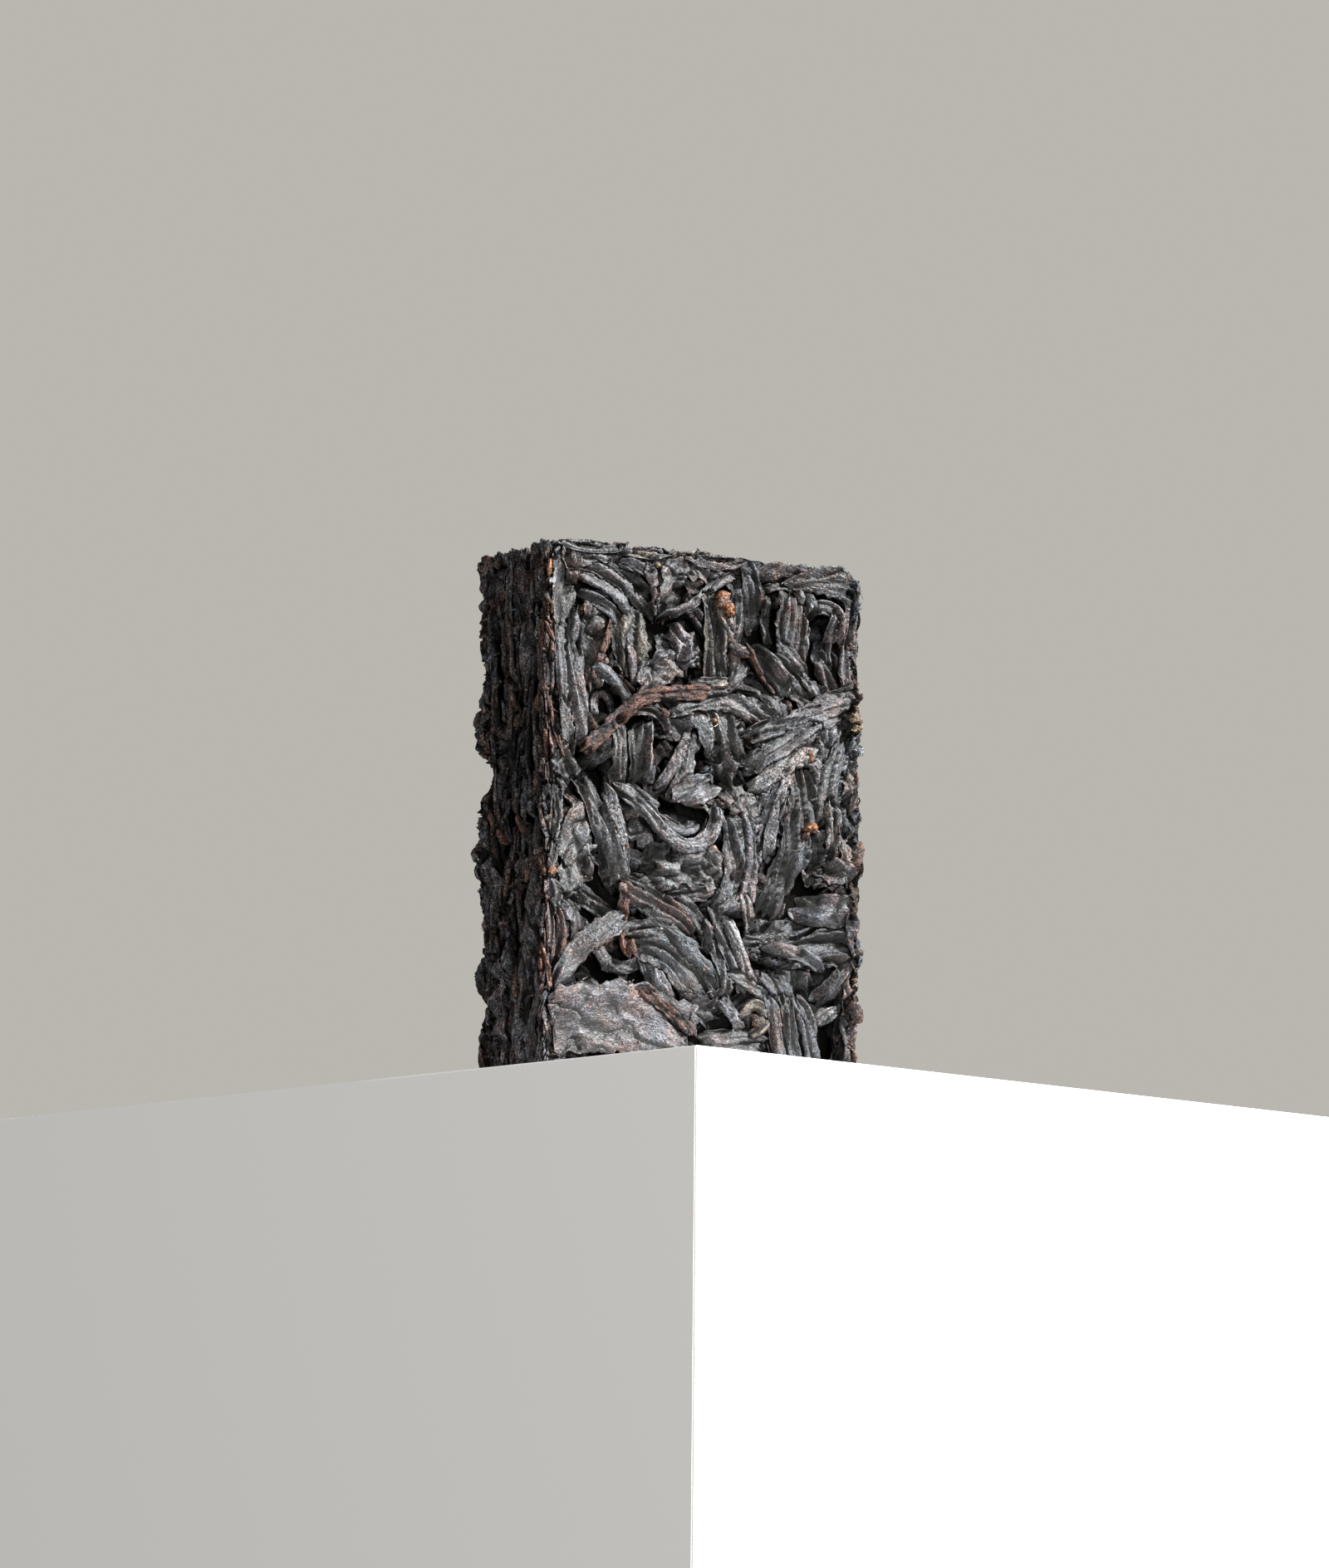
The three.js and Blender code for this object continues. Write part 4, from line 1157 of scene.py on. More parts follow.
@dataclass(frozen=True)
class Brick:
    """The brick's tea: the leaves on its walls, top and base, and the dark mass inside."""

    mould: Mould = Mould()
    # How wide a cell of the maps is, and how far apart each piece's points are.
    cell: float = 0.22
    wall_seed: int = 3
    steps: dict[str, float] = field(default_factory=lambda: {
        "front_rolled_leaves": 0.108,
        "front_pleated_leaves": 0.108,
        "front_broad_leaves": 0.115,
        "stems": 0.1,
        "side_layers": 0.165,
        "deep_leaves": 0.75,
        "front_under_leaves": 0.18,
        "back_leaves": 0.46,
        "right_layers": 0.36,
        "end_leaves": 0.48,
    })
    # The ragged upright edge at the back left: height, and how far it is worn in there.
    ragged_edge: tuple = (
        (46, 0.6), (44.5, -0.2), (42, 0.1), (36, 0.2), (34, 0.3), (31, -0.5), (29, -0.3), (28, 0.6),
        (26.8, 1.8), (25.2, 0.9), (24.5, -1.4), (23.4, -0.6), (22.6, 0.4), (21.5, -0.2), (19.7, -0.4),
        (18.5, -0.1), (16.5, 0.5), (14, 0.7), (11, 0.7), (9, -0.5), (8, 0.3), (7, 1.2), (6, 0.6), (4, 0.0),
        (3, 0.7), (1.8, 3.4), (0, 3.4),
    )
    # The upright edge at the front right, in the same way.
    right_edge: tuple = (
        (46, 0.5), (41, 0.6), (36, 0.4), (33, 0.2), (26, 0.2), (24, 0.1), (22, -0.1), (20, -0.1),
        (18.5, 0.5), (17.5, 0.2), (15, 0.1), (14, -0.1), (12, -0.2), (11.2, 0.4), (10.5, 0.0), (9, 0.6),
        (7.5, -0.1), (6.5, 0.6), (4, 0.4), (0, 0.5),
    )
    # How deep the hollows between leaves are, how far inside the walls the core lies, and how uneven it is.
    hollow_depth: float = 1.8
    core_inset: float = 2.4
    core_swell: float = 0.012

    def belt_fills(self) -> tuple[Fill, ...]:
        """Rules for the deep leaves behind all four walls."""
        w, t, top = self.mould.width / 2, self.mould.thickness, self.mould.height
        tones, deep = (BK, BK, CH, BB, BR), "deep_leaves"
        crossed = 60, (7, 12), (1.8, 3.6), 90, 90, (R, C, P), tones
        upright = 24, (8, 14), (1.6, 2.8), 90
        return (
            Fill(deep, (-w, 0), (w, top), *crossed, 1, 0.35),
            Fill(deep, (w, 0), (w + t, top), *upright, 14, (H, C), tones, 2, 0.35),
            Fill(deep, (w + t, 0), (3 * w + t, top), *crossed, 3, 0.35),
            Fill(deep, (-w - t, 0), (-w, top), *upright, 12, (H, C), tones, 4, 0.35),
            *(
                Fill(deep, (u - 0.6, 1), (u + 0.6, 45), 18, (8, 13), (3.0, 4.2), 90, 6, (C,), tones, 5, 0.6)
                for u in (-w - t, -w, w, w + t)
            ),
        )

    def outer_fills(self) -> tuple[Fill, ...]:
        """Rules for the leaves that show where none is listed."""
        w, t = self.mould.width / 2, self.mould.thickness
        # Where the back starts on the belt, and where it ends.
        b, e = w + t, 3 * w + t
        back, side, right, front = "back_leaves", "side_layers", "right_layers", "front_broad_leaves"
        tones = (CH, CH, CH, BB, BK, OL, BR, PA)
        dark, rim = (CH, BK, BB, BK, BR), (CH, BR, CH, BR, OL)
        thin, edge = (BK, BK, BR, BK, CH), (BR, BR, RU, CH, BK)
        mixed, torn = (H, C, R), (H, C, C)
        return (
            Fill(side, (0.4 - b, 0.6), (-w - 0.4, 45.6), 80, (1.2, 6), (0.25, 0.7), 90, 24, mixed, thin, 19),
            Fill(side, (-w - 0.4, 0.6), (0.3 - w, 45.6), 46, (1.2, 4), (0.5, 1.2), 90, 24, torn, edge, 15),
            Fill(front, (3.2 - w, 45.7), (3, 46.1), 14, (1.5, 6), (0.4, 0.8), 0, 6, (H, C, P), rim, 23),
            Fill(right, (w + 0.6, 0), (b - 0.6, 46), 46, (6, 14), (1.0, 2.6), 90, 12, (H, H, C), dark, 12),
            Fill(right, (w - 0.2, 1), (w + 0.4, 45), 30, (1.4, 4), (0.8, 1.8), 90, 40, (C, H, P), dark, 16),
            Fill(back, (b - 0.4, 1), (b + 0.4, 45), 12, (4, 9), (1.2, 2.4), 90, 14, (C, H, P), dark, 17),
            Fill(side, (e - 0.5, 0.5), (e + 0.5, 45.5), 46, (1, 3.5), (0.7, 1.7), 90, 50, (C, H), dark, 18),
            Fill(back, (b, 0.4), (e, 45.6), 74, (6, 12), (2.4, 4.6), 90, 90, (C, F, P, C), tones, 13),
            Fill(back, (b, 0.4), (e, 45.6), 74, (5, 10), (1.2, 2.4), 90, 90, (R, R, P), tones, 14),
        )

    def front_fills(self) -> tuple[Fill, ...]:
        """Rules for what fills between the listed leaves of the front and left faces, under them."""
        w, t = self.mould.width / 2, self.mould.thickness
        under, side, low, high = "front_under_leaves", "side_layers", (-w, 1), (w, 45.4)
        dark, left = (BK, BK, CH, BB, BR), (BK, CH, BB)
        return (
            Fill(under, low, high, 160, (2, 5), (0.8, 2.0), 90, 90, (C, P, R, R), dark, 21, 0.84),
            Fill(side, (-w - t, 0.4), (-w - 0.5, 46), 40, (6, 13), (0.8, 1.8), 90, 9, (H,), left, 22),
        )

    def wall_chart(self, terrain: Terrain, hollows: np.ndarray) -> np.ndarray:
        """How far out the tea may reach on the upright walls: uneven, chipped and ragged at the edges.

        Args:
            terrain: the belt's map.
            hollows: u, v and radius of the hollows between the leaves.

        Returns:
            The limit on that map.
        """
        m, noise = self.mould, Noise(self.wall_seed)
        u, v = terrain.places()
        # The walls rise and fall by a quarter of a millimetre over some five.
        chart = 0.12 - 0.22 * smooth_step(0.4 + 0.9 * noise.layered(u / 5.5, v / 5.5))
        w, t = m.width / 2, m.thickness
        for x, z, radius in hollows:
            chart = chart - self.hollow_depth * np.exp(-((np.hypot(u - x, v - z) / (1.25 * radius)) ** 4))
        # Two upright edges are chipped, and the other two are worn as their lists say.
        for corner, depth in ((-w, 0.2), (w + t, 0.8)):
            past = np.abs(np.mod(u - corner + m.around / 2, m.around) - m.around / 2)
            chips = np.clip(noise.layered(v / 2.2 + corner, u / 3.0, 3) + 0.12, 0, 1)
            chart = chart - depth * chips * np.exp(-((past / 1.1) ** 2))
        for corner, edge in ((-w - t, self.ragged_edge), (w, self.right_edge)):
            past = np.abs(np.mod(u - corner + m.around / 2, m.around) - m.around / 2)
            heights, depths = zip(*reversed(edge))
            worn = np.interp(v, heights, depths) - 0.2 + 0.2 * noise.layered(v / 0.8, u / 2)
            chart = chart - worn * np.exp(-((past / 1.5) ** 2))
        # The upper rim stands up a little, and both rims are chipped.
        chips = 0.25 * np.clip(noise.layered(u / 2.4, v / 2.0 + 40, 3) + 0.05, 0, 1)
        for rim, raised in ((m.height - v, 0.2), (v, 0.0)):
            chart = chart + (raised - chips) * np.exp(-((rim / 0.7) ** 2))
        return chart

    def walls(self, pieces: dict[str, MeshParts]) -> None:
        """Lays and presses the leaves of the four upright walls.

        Args:
            pieces: what each piece is made of, by name.
        """
        m = self.mould
        half = m.around / 2
        terrain = Terrain((-half, -2.4), (half, m.height + 2.4), self.cell, True)
        front, left = FrontFace(), LeftFace()
        start = -(m.width + m.thickness) / 2
        hollows = np.array([*front.hollows, *((start - y, z, radius) for y, z, radius in left.hollows)])
        bed = Bed(Belt(m), terrain, self.wall_chart(terrain, hollows), self.steps, Noise(7))
        for rule in self.belt_fills():
            bed.fill(rule)
        bed.hollows = hollows
        for rule in self.front_fills():
            bed.fill(rule)
        for leaf, piece in left.pieces(m):
            bed.lay(leaf, piece)
        for leaf, piece in front.pieces():
            bed.lay(leaf, piece, front.DEPTHS.get(leaf.tone, 1.0))
        for rule in self.outer_fills():
            bed.fill(rule)
        bed.press()
        bed.gather(pieces)
        LOG.info("walls: %d leaves", len(bed.laid))

    def ends(self, pieces: dict[str, MeshParts]) -> None:
        """Lays and presses the leaves of the top and the base, which show the layers edge-on.

        Args:
            pieces: what each piece is made of, by name.
        """
        m = self.mould
        w, t = m.width / 2, m.thickness / 2
        for is_top in (True, False):
            terrain = Terrain((-w - 1.5, -t - 1.5), (w + 1.5, t + 1.5), self.cell, False)
            u, v = terrain.places()
            depth = 0.2 if is_top else 0.1
            wall = -depth * smooth_step(0.5 + 0.8 * Noise(51).layered(u / 4, v / 4))
            bed = Bed(Lid(m, is_top), terrain, wall, self.steps, Noise(52 + is_top))
            where, tones = ("end_leaves", (1 - w, 0.2 - t), (w - 1, t - 0.2)), (CH, CH, BB, BK, BR)
            bed.fill(Fill(*where, 26, (8, 14), (1.6, 3.0), 0, 9, (C, H), tones, 61))
            bed.fill(Fill(*where, 44, (5, 12), (0.9, 2.2), 0, 9, (H,), tones, 62))
            bed.press()
            bed.gather(pieces)
            LOG.info("%s: %d leaves", "top" if is_top else "base", len(bed.laid))

    def core(self) -> bpy.types.Object:
        """The dark mass of crushed leaf inside, which shows only at the bottom of the deepest gaps."""
        m, noise, inset = self.mould, Noise(9), self.core_inset
        form = bmesh.new()
        bmesh.ops.create_cube(form, size=1)
        bmesh.ops.subdivide_edges(form, edges=form.edges, cuts=23, use_grid_fill=True)
        size = np.array([m.width - 2 * inset, m.thickness - 2 * inset, m.height - 2 * inset])
        for vert in form.verts:
            x, y, z = np.array(vert.co) * size
            swell = 1 + self.core_swell * float(noise.layered(np.array(x / 1.6 + y), np.array(z / 1.6 - y)))
            vert.co = (x * swell * MM, y * swell * MM, (z + m.height / 2) * MM)
        mesh = bpy.data.meshes.new("crushed_core")
        form.to_mesh(mesh)
        form.free()
        return placed("crushed_core", mesh)


# The nodes that the finishes are made of.
SUM, RANGE, VECTOR, MIX = "ShaderNodeMath", "ShaderNodeMapRange", "ShaderNodeVectorMath", "ShaderNodeMix"
NOISE, CELLS = "ShaderNodeTexNoise", "ShaderNodeTexVoronoi"


class Graph:
    """A node tree that is written node by node."""

    def __init__(self, tree: bpy.types.NodeTree) -> None:
        """Starts from an empty tree."""
        self.tree = tree
        tree.nodes.clear()

    def node(self, kind: str, *values: object, **named: object) -> bpy.types.NodeSocket | None:
        """Adds a node with its settings and links.

        Args:
            kind: the node's type.
            *values: its first inputs in order, each a socket or a value.
            **named: its settings, and its other inputs by name, with _ for a space.

        Returns:
            Its first output in use, from which the node can be reached.
        """
        node = self.tree.nodes.new(kind)
        links = {}
        for key, value in named.items():
            if hasattr(node, key):
                setattr(node, key, value)
            else:
                links[node.inputs[key.replace("_", " ")]] = value
        used = [socket for socket in node.inputs if socket.enabled]
        for socket, value in (*zip(used, values), *links.items()):
            if isinstance(value, bpy.types.NodeSocket):
                self.tree.links.new(value, socket)
            else:
                socket.default_value = value
        return next((socket for socket in node.outputs if socket.enabled), None)

    def product(self, first: object, *others: object) -> bpy.types.NodeSocket:
        """Multiplies values.

        Args:
            first: the first, a socket or a number.
            *others: the others.

        Returns:
            The product.
        """
        for other in others:
            first = self.node(SUM, first, other, operation="MULTIPLY")
        return first


def colour(code: int) -> tuple[float, float, float, float]:
    """A linear colour with full cover, from sRGB hex."""
    return (*linear(code), 1.0)


@dataclass(frozen=True)
class LeafFinish:
    """Oxidised tea leaf: near black, satin on its folds, matt where the cells are broken, with a pale powder
    and painted highlights on its crests, and painted shade in its folds and gaps.

    Attributes:
        name: the material's name.
        rough: roughness of the worn and of the dusty places.
        dust_and_highlight_share: how much pale powder, which is also a painted highlight, lies on the folds.
        depth: how deep the fine texture is, in millimetres.
        flecks: how much orange-brown shows in flecks, as where bark has flaked off.
        grit: how dark and how pale the crushed cells are.
        fibrous: the same for the fibres.
        gloss: how strongly it shines, 0.5 for a closed skin and less for crushed leaf.
        warm: how brown it is where it is less oxidised.
        pale: how pale it is against the leaf's own colour.
        sunk: how deep in the gaps it lies, from 0 to 1, where the leaf itself doesn't say so, which paints
            shade on it.
        plain: the colour, where it doesn't come from the leaf itself.
    """

    name: str
    rough: tuple[float, float] = (0.38, 0.7)
    dust_and_highlight_share: float = 0.64
    depth: float = 0.09
    flecks: float = 0.0
    grit: tuple[float, float] = (0.05, 2.6)
    fibrous: tuple[float, float] = (0.6, 1.45)
    gloss: float = 0.5
    warm: float = 0.42
    pale: float = 1.0
    sunk: float = 0.0
    plain: int | None = None

    # What the leaf's own colour turns to: less and more oxidised, worn to the fibre, under pale dust that is
    # also a painted highlight on the crests, where bark has flaked off, in specks of rust, and near black as
    # painted shade in the gaps, folds and cracks.
    BROWNER, BLUER, WORN, BLOOM = 0x42312A, 0x30353C, 0x6A4A3C, 0x929196
    FLAKED, RUST, DARK = 0x80492E, 0x74452E, 0x0B0A09

    def build(self) -> bpy.types.Material:
        """Makes the material. Its patterns are sized in times that they repeat in a millimetre."""
        material = bpy.data.materials.new(self.name)
        material.use_nodes = True
        g = Graph(material.node_tree)
        place = g.node("ShaderNodeTexCoord").node.outputs["Object"]
        place = g.node(VECTOR, place, operation="SCALE", Scale=1 / MM)
        if self.plain is None:
            grain = g.node("ShaderNodeUVMap", uv_map="grain")
            form = g.node("ShaderNodeAttribute", attribute_name="leaf_form").node.outputs["Vector"]
            margin, cavity_shade, touch = g.node("ShaderNodeSeparateXYZ", form).node.outputs
            veined = g.node("ShaderNodeAttribute", attribute_name="leaf_veins").node.outputs["Fac"]
            tone = g.node("ShaderNodeAttribute", attribute_name="leaf_colour")
        else:
            grain, margin, cavity_shade, touch, veined, tone = place, 0.0, self.sunk, 0.5, 0.0, colour(self.plain)
        along = lambda pattern, size: g.node(VECTOR, pattern, size, operation="MULTIPLY")
        # The blade is crumpled: a drift of a third of a millimetre bends all that follows.
        drift = g.node(NOISE, Vector=place, Scale=1.6, Detail=2.0).node.outputs["Color"]
        drift = g.node(VECTOR, drift, (0.9, 0.9, 0.0), grain, operation="MULTIPLY_ADD")
        # Wrinkles along the leaf, 0.4 mm apart, and a net of finer ones: sharp crests between dents.
        wrinkle = g.node(CELLS, Vector=along(drift, (0.8, 2.5, 1.0)), Scale=1.0)
        net = g.node(CELLS, Vector=along(drift, (2.6, 5.2, 1.0)), Scale=1.0)
        # Fibres, the crushed cells of the blade of a tenth of a millimetre, and spots up to one millimetre.
        fibre = g.node(NOISE, Vector=along(grain, (1.2, 7.0, 1.0)), Scale=1.0, Detail=3.0)
        cell = g.node(NOISE, Vector=place, Scale=6.0, Detail=2.0, Roughness=0.8)
        sand = g.node(CELLS, Vector=place, Scale=8.0).node.outputs["Color"]
        sand = g.node("ShaderNodeSeparateColor", sand)
        spot = g.node(NOISE, Vector=place, Scale=1.1, Detail=6.0, Roughness=0.68)
        hue = g.node(NOISE, Vector=place, Scale=0.45, Detail=3.0, Roughness=0.6)
        # A smooth blade is less wrinkled, cracked and rusty than the others.
        calm = g.node(RANGE, veined, 0.0, 0.3, 1.0, 0.45)
        # Cracks a twentieth of a millimetre wide, mostly along the leaf, where it broke when it was pressed;
        # their near black colour is painted shade.
        crack = g.node(CELLS, feature="DISTANCE_TO_EDGE", Vector=along(drift, (0.42, 1.15, 1.0)), Scale=1.0)
        crack = g.product(
            g.node(RANGE, crack, 0.01, 0.05, 0.7, 0.0), g.node(RANGE, hue, 0.47, 0.41, 0.0, 1.0), calm,
        )
        mixed = lambda share, code: g.node(MIX, share, tone, colour(code), data_type="RGBA")
        # Brown where the leaf is less oxidised, bluish black where it is more.
        tone = mixed(g.node(RANGE, hue, 0.5, 0.62, 0.0, self.warm), self.BROWNER)
        tone = mixed(g.node(RANGE, hue, 0.49, 0.39, 0.0, 0.55), self.BLUER)
        # Painted shade and light: dents of the wrinkles are darker and their crests lighter, and the pits
        # between the crushed cells are darker too; the sand, spots and fibres are the blade's own grain.
        shade = g.product(
            g.node(RANGE, wrinkle, 0.1, 0.65, 0.7, 1.25),
            g.node(RANGE, net, 0.1, 0.6, 0.7, 1.3),
            g.node(RANGE, cell, 0.36, 0.64, 0.4 * self.pale, 1.7 * self.pale),
            g.node(RANGE, sand, 0.0, 1.0, *self.grit),
            g.node(RANGE, spot, 0.4, 0.6, 0.75, 1.2),
            g.node(RANGE, fibre, 0.35, 0.65, *self.fibrous),
        )
        shade = g.node("ShaderNodeCombineColor", shade, shade, shade)
        tone = g.node(MIX, 1.0, tone, shade, data_type="RGBA", blend_type="MULTIPLY")
        tone = mixed(g.product(margin, g.node(RANGE, spot, 0.5, 0.6, 0.0, 0.5)), self.WORN)
        # Pale dust lies in spots where the leaf touched the mould, on the crests and not in the dents, and on
        # the crests of the finer wrinkles; there it is also a painted highlight. A smooth blade holds less of
        # it.
        patch = g.node(RANGE, spot, 0.49, 0.585, 0.0, 1.0)
        open_place = g.node(SUM, 1.0, g.product(cavity_shade, 1.6), operation="SUBTRACT", use_clamp=True)
        crest = g.product(
            g.node(RANGE, wrinkle, 0.2, 0.6, 0.35, 1.0),
            g.node(RANGE, cell, 0.4, 0.58, 0.05, 1.0),
            g.node(RANGE, sand, 0.2, 0.75, 0.12, 1.0),
            open_place, touch,
        )
        rubbed_and_lit = g.node(RANGE, net, 0.35, 0.75, 0.0, 0.5)
        dust_and_highlight = g.node(SUM, patch, rubbed_and_lit, operation="MAXIMUM")
        dust_and_highlight = g.product(crest, dust_and_highlight, g.node(RANGE, veined, 0.0, 0.4, 1.0, 0.45))
        tone = mixed(g.product(dust_and_highlight, self.dust_and_highlight_share), self.BLOOM)
        # Flecks where bark flaked off, and a few specks of rust on every leaf.
        fleck = g.node(NOISE, Vector=along(grain, (1.4, 5.0, 1.0)), Scale=1.0, Detail=3.0)
        tone = mixed(g.node(RANGE, fleck, 0.54, 0.64, 0.0, self.flecks), self.FLAKED)
        speck = g.node(NOISE, Vector=place, Scale=2.7, Detail=3.0, Roughness=0.7)
        tone = mixed(g.product(g.node(RANGE, speck, 0.6, 0.66, 0.0, 0.5), calm), self.RUST)
        # Painted shade: the colour goes near black deep in the gaps, in the folds and creases, and along the
        # cracks.
        gap_shade = g.node(SUM, cavity_shade, 1.12, operation="MULTIPLY", use_clamp=True)
        tone = mixed(g.node(SUM, gap_shade, crack, operation="MAXIMUM"), self.DARK)
        normal = {}
        for height, depth in (
            (g.product(wrinkle, calm), 1.2), (net, 0.5), (sand, 0.5), (g.product(cell, calm), 0.7),
            (fibre, 0.3), (self.veins(g, grain, veined), 0.5), (g.product(crack, -1.0), 0.6),
        ):
            size = {"Strength": 1.0, "Distance": depth * self.depth * MM}
            normal = {"Normal": g.node("ShaderNodeBump", Height=height, **size, **normal)}
        rough = g.node(RANGE, cell, 0.35, 0.65, *self.rough)
        look = {"Base_Color": tone, "Roughness": rough, "IOR": 1.48, "Specular_IOR_Level": self.gloss}
        shader = g.node("ShaderNodeBsdfPrincipled", **look, **normal)
        g.node("ShaderNodeOutputMaterial", Surface=shader)
        return material

    @staticmethod
    def veins(
        g: Graph, grain: bpy.types.NodeSocket, veined: bpy.types.NodeSocket | float,
    ) -> bpy.types.NodeSocket:
        """Side veins that leave the midrib on a slant, about 1.3 mm apart, and the midrib itself.

        Args:
            g: the tree.
            grain: the leaf's own millimetres.
            veined: how much the veins show on this leaf.

        Returns:
            Where the veins are, from 0 to 1.
        """
        axes = g.node("ShaderNodeSeparateXYZ", grain).node.outputs
        aside = g.node(SUM, axes[1], operation="ABSOLUTE")
        slant = g.node(SUM, axes[0], g.product(aside, -1.3), operation="ADD")
        turn = g.node(SUM, g.product(slant, 0.78), operation="FRACT")
        away = g.node(SUM, g.node(SUM, turn, 0.5, operation="SUBTRACT"), operation="ABSOLUTE")
        side, rib = g.node(RANGE, away, 0.0, 0.05, 1.0, 0.0), g.node(RANGE, aside, 0.0, 0.09, 1.0, 0.0)
        return g.product(g.node(SUM, side, rib, operation="MAXIMUM"), veined)


@dataclass(frozen=True)
class Scatter:
    """Small bits that lie on the pressed leaves, placed by a node tree over their pressed faces.

    Attributes:
        name: the piece's name.
        material: what the bits are made of.
        amount: how many lie on a square centimetre.
        small: length, width and thickness of the smallest, in millimetres.
        large: the same of the largest.
        seed: what their places are drawn from.
        hairs: whether they are thin hairs and no crumbs.
        sources: the pieces that they lie on.
    """

    # How much a leaf must have touched the mould for bits to lie on it, how far they are tilted and turned,
    # in radians, half a hair's thickness, and how far a bit is bent, in millimetres.
    PRESSED = 0.25
    TURN = (0.4, 0.4, 3.1)
    HAIR = 0.018
    BENT = 0.6

    name: str
    material: bpy.types.Material
    amount: float
    small: tuple[float, float, float]
    large: tuple[float, float, float]
    seed: int
    hairs: bool = False
    sources: tuple[str, ...] = (
        "front_rolled_leaves", "front_pleated_leaves", "front_broad_leaves", "side_layers", "back_leaves",
        "right_layers", "end_leaves",
    )

    def tree(self) -> bpy.types.NodeTree:
        """Makes the node tree, with its amount, sizes, seed and material as named inputs."""
        tree = bpy.data.node_groups.new(f"scatter_{self.name}", "GeometryNodeTree")
        inputs = {
            "Surface": "Geometry", "Amount": "Float", "Seed": "Int", "Small": "Vector", "Large": "Vector",
            "Material": "Material",
        }
        for title, kind in inputs.items():
            tree.interface.new_socket(title, in_out="INPUT", socket_type=f"NodeSocket{kind}")
        tree.interface.new_socket("Bits", in_out="OUTPUT", socket_type="NodeSocketGeometry")
        g = Graph(tree)
        given = g.node("NodeGroupInput").node.outputs
        form = g.node("GeometryNodeInputNamedAttribute", data_type="FLOAT_VECTOR", Name="leaf_form")
        touch = g.node("ShaderNodeSeparateXYZ", form).node.outputs[2]
        dense = g.product(g.node(SUM, touch, self.PRESSED, operation="GREATER_THAN"), given["Amount"])
        points = g.node(
            "GeometryNodeDistributePointsOnFaces", Mesh=given["Surface"], Density=dense, Seed=given["Seed"],
        )
        draw = {"data_type": "FLOAT_VECTOR", "Seed": given["Seed"]}
        other_way = tuple(-angle for angle in self.TURN)
        euler = g.node("FunctionNodeRandomValue", other_way, self.TURN, **draw)
        spin = g.node("FunctionNodeEulerToRotation", Euler=euler)
        upright = points.node.outputs["Rotation"]
        turn = g.node("FunctionNodeRotateRotation", rotation_space="LOCAL", Rotation=upright, Rotate_By=spin)
        size = g.node("FunctionNodeRandomValue", given["Small"], given["Large"], **draw)
        if self.hairs:
            bend = {"Start": (0, 0, -0.1), "Middle": (0.4, 0.4, 0.3), "End": (1, 0, 0.1)}
            bit = g.node("GeometryNodeCurveQuadraticBezier", Resolution=4, **bend)
        else:
            bit = g.node("GeometryNodeMeshIcoSphere", Radius=0.5, Subdivisions=1)
        laid = g.node("GeometryNodeInstanceOnPoints", Points=points, Instance=bit, Rotation=turn, Scale=size)
        real = g.node("GeometryNodeRealizeInstances", Geometry=laid)
        if self.hairs:
            ring = g.node("GeometryNodeCurvePrimitiveCircle", Resolution=3, Radius=self.HAIR * MM)
            real = g.node("GeometryNodeCurveToMesh", Curve=real, Profile_Curve=ring, Fill_Caps=True)
        # The bits aren't alike: a wave about as long as they are bends them.
        place = g.node("GeometryNodeInputPosition")
        wave = g.node(NOISE, Vector=place, Scale=1.4 / MM, Detail=1.0).node.outputs["Color"]
        push = g.node(VECTOR, wave, (0.5, 0.5, 0.5), operation="SUBTRACT")
        push = g.node(VECTOR, push, operation="SCALE", Scale=self.BENT * MM)
        bent = g.node("GeometryNodeSetPosition", Geometry=real, Offset=push)
        done = g.node("GeometryNodeSetMaterial", Geometry=bent, Material=given["Material"])
        g.node("NodeGroupOutput", Bits=done)
        return tree

    def build(self, parts: dict[str, MeshParts]) -> bpy.types.Object:
        """Scatters the bits.

        Args:
            parts: the leaves that they lie on, by piece.

        Returns:
            The piece, as a plain mesh.
        """
        surface = MeshParts()
        for part in (parts[name] for name in self.sources):
            for store in ("points", "grain", "colour", "form", "veins"):
                getattr(surface, store).extend(getattr(part, store))
            surface.quads.extend(quads + surface.count for quads in part.quads)
            surface.triangles.extend(triangles + surface.count for triangles in part.triangles)
            surface.count += part.count
        piece = surface.build(self.name)
        modifier = piece.modifiers.new("scatter", "NODES")
        modifier.node_group = self.tree()
        values = {
            "Amount": self.amount / (10 * MM) ** 2, "Seed": self.seed, "Small": [x * MM for x in self.small],
            "Large": [x * MM for x in self.large], "Material": self.material,
        }
        for item in modifier.node_group.interface.items_tree:
            if item.name in values and item.in_out == "INPUT":
                modifier[item.identifier] = values[item.name]
        view = bpy.context.evaluated_depsgraph_get()
        plain = bpy.data.meshes.new_from_object(piece.evaluated_get(view), depsgraph=view)
        piece.modifiers.clear()
        carrier, piece.data = piece.data, plain
        bpy.data.meshes.remove(carrier)
        return piece


@dataclass(frozen=True)
class Lamp:
    """A soft square light that points at the brick's middle. Its place and side are in metres."""

    name: str
    place: tuple[float, float, float]
    side: float
    power: float
    tint: tuple[float, float, float]
    aim: tuple[float, float, float] = (0, 0, 0.023)

    def build(self) -> None:
        """Hangs the light."""
        data = bpy.data.lights.new(self.name, "AREA")
        data.size, data.energy, data.color = self.side, self.power, self.tint
        lamp = bpy.data.objects.new(self.name, data)
        lamp.location = self.place
        way = Vector(self.aim) - lamp.location
        lamp.rotation_euler = way.to_track_quat("-Z", "Y").to_euler()
        bpy.context.scene.collection.objects.link(lamp)


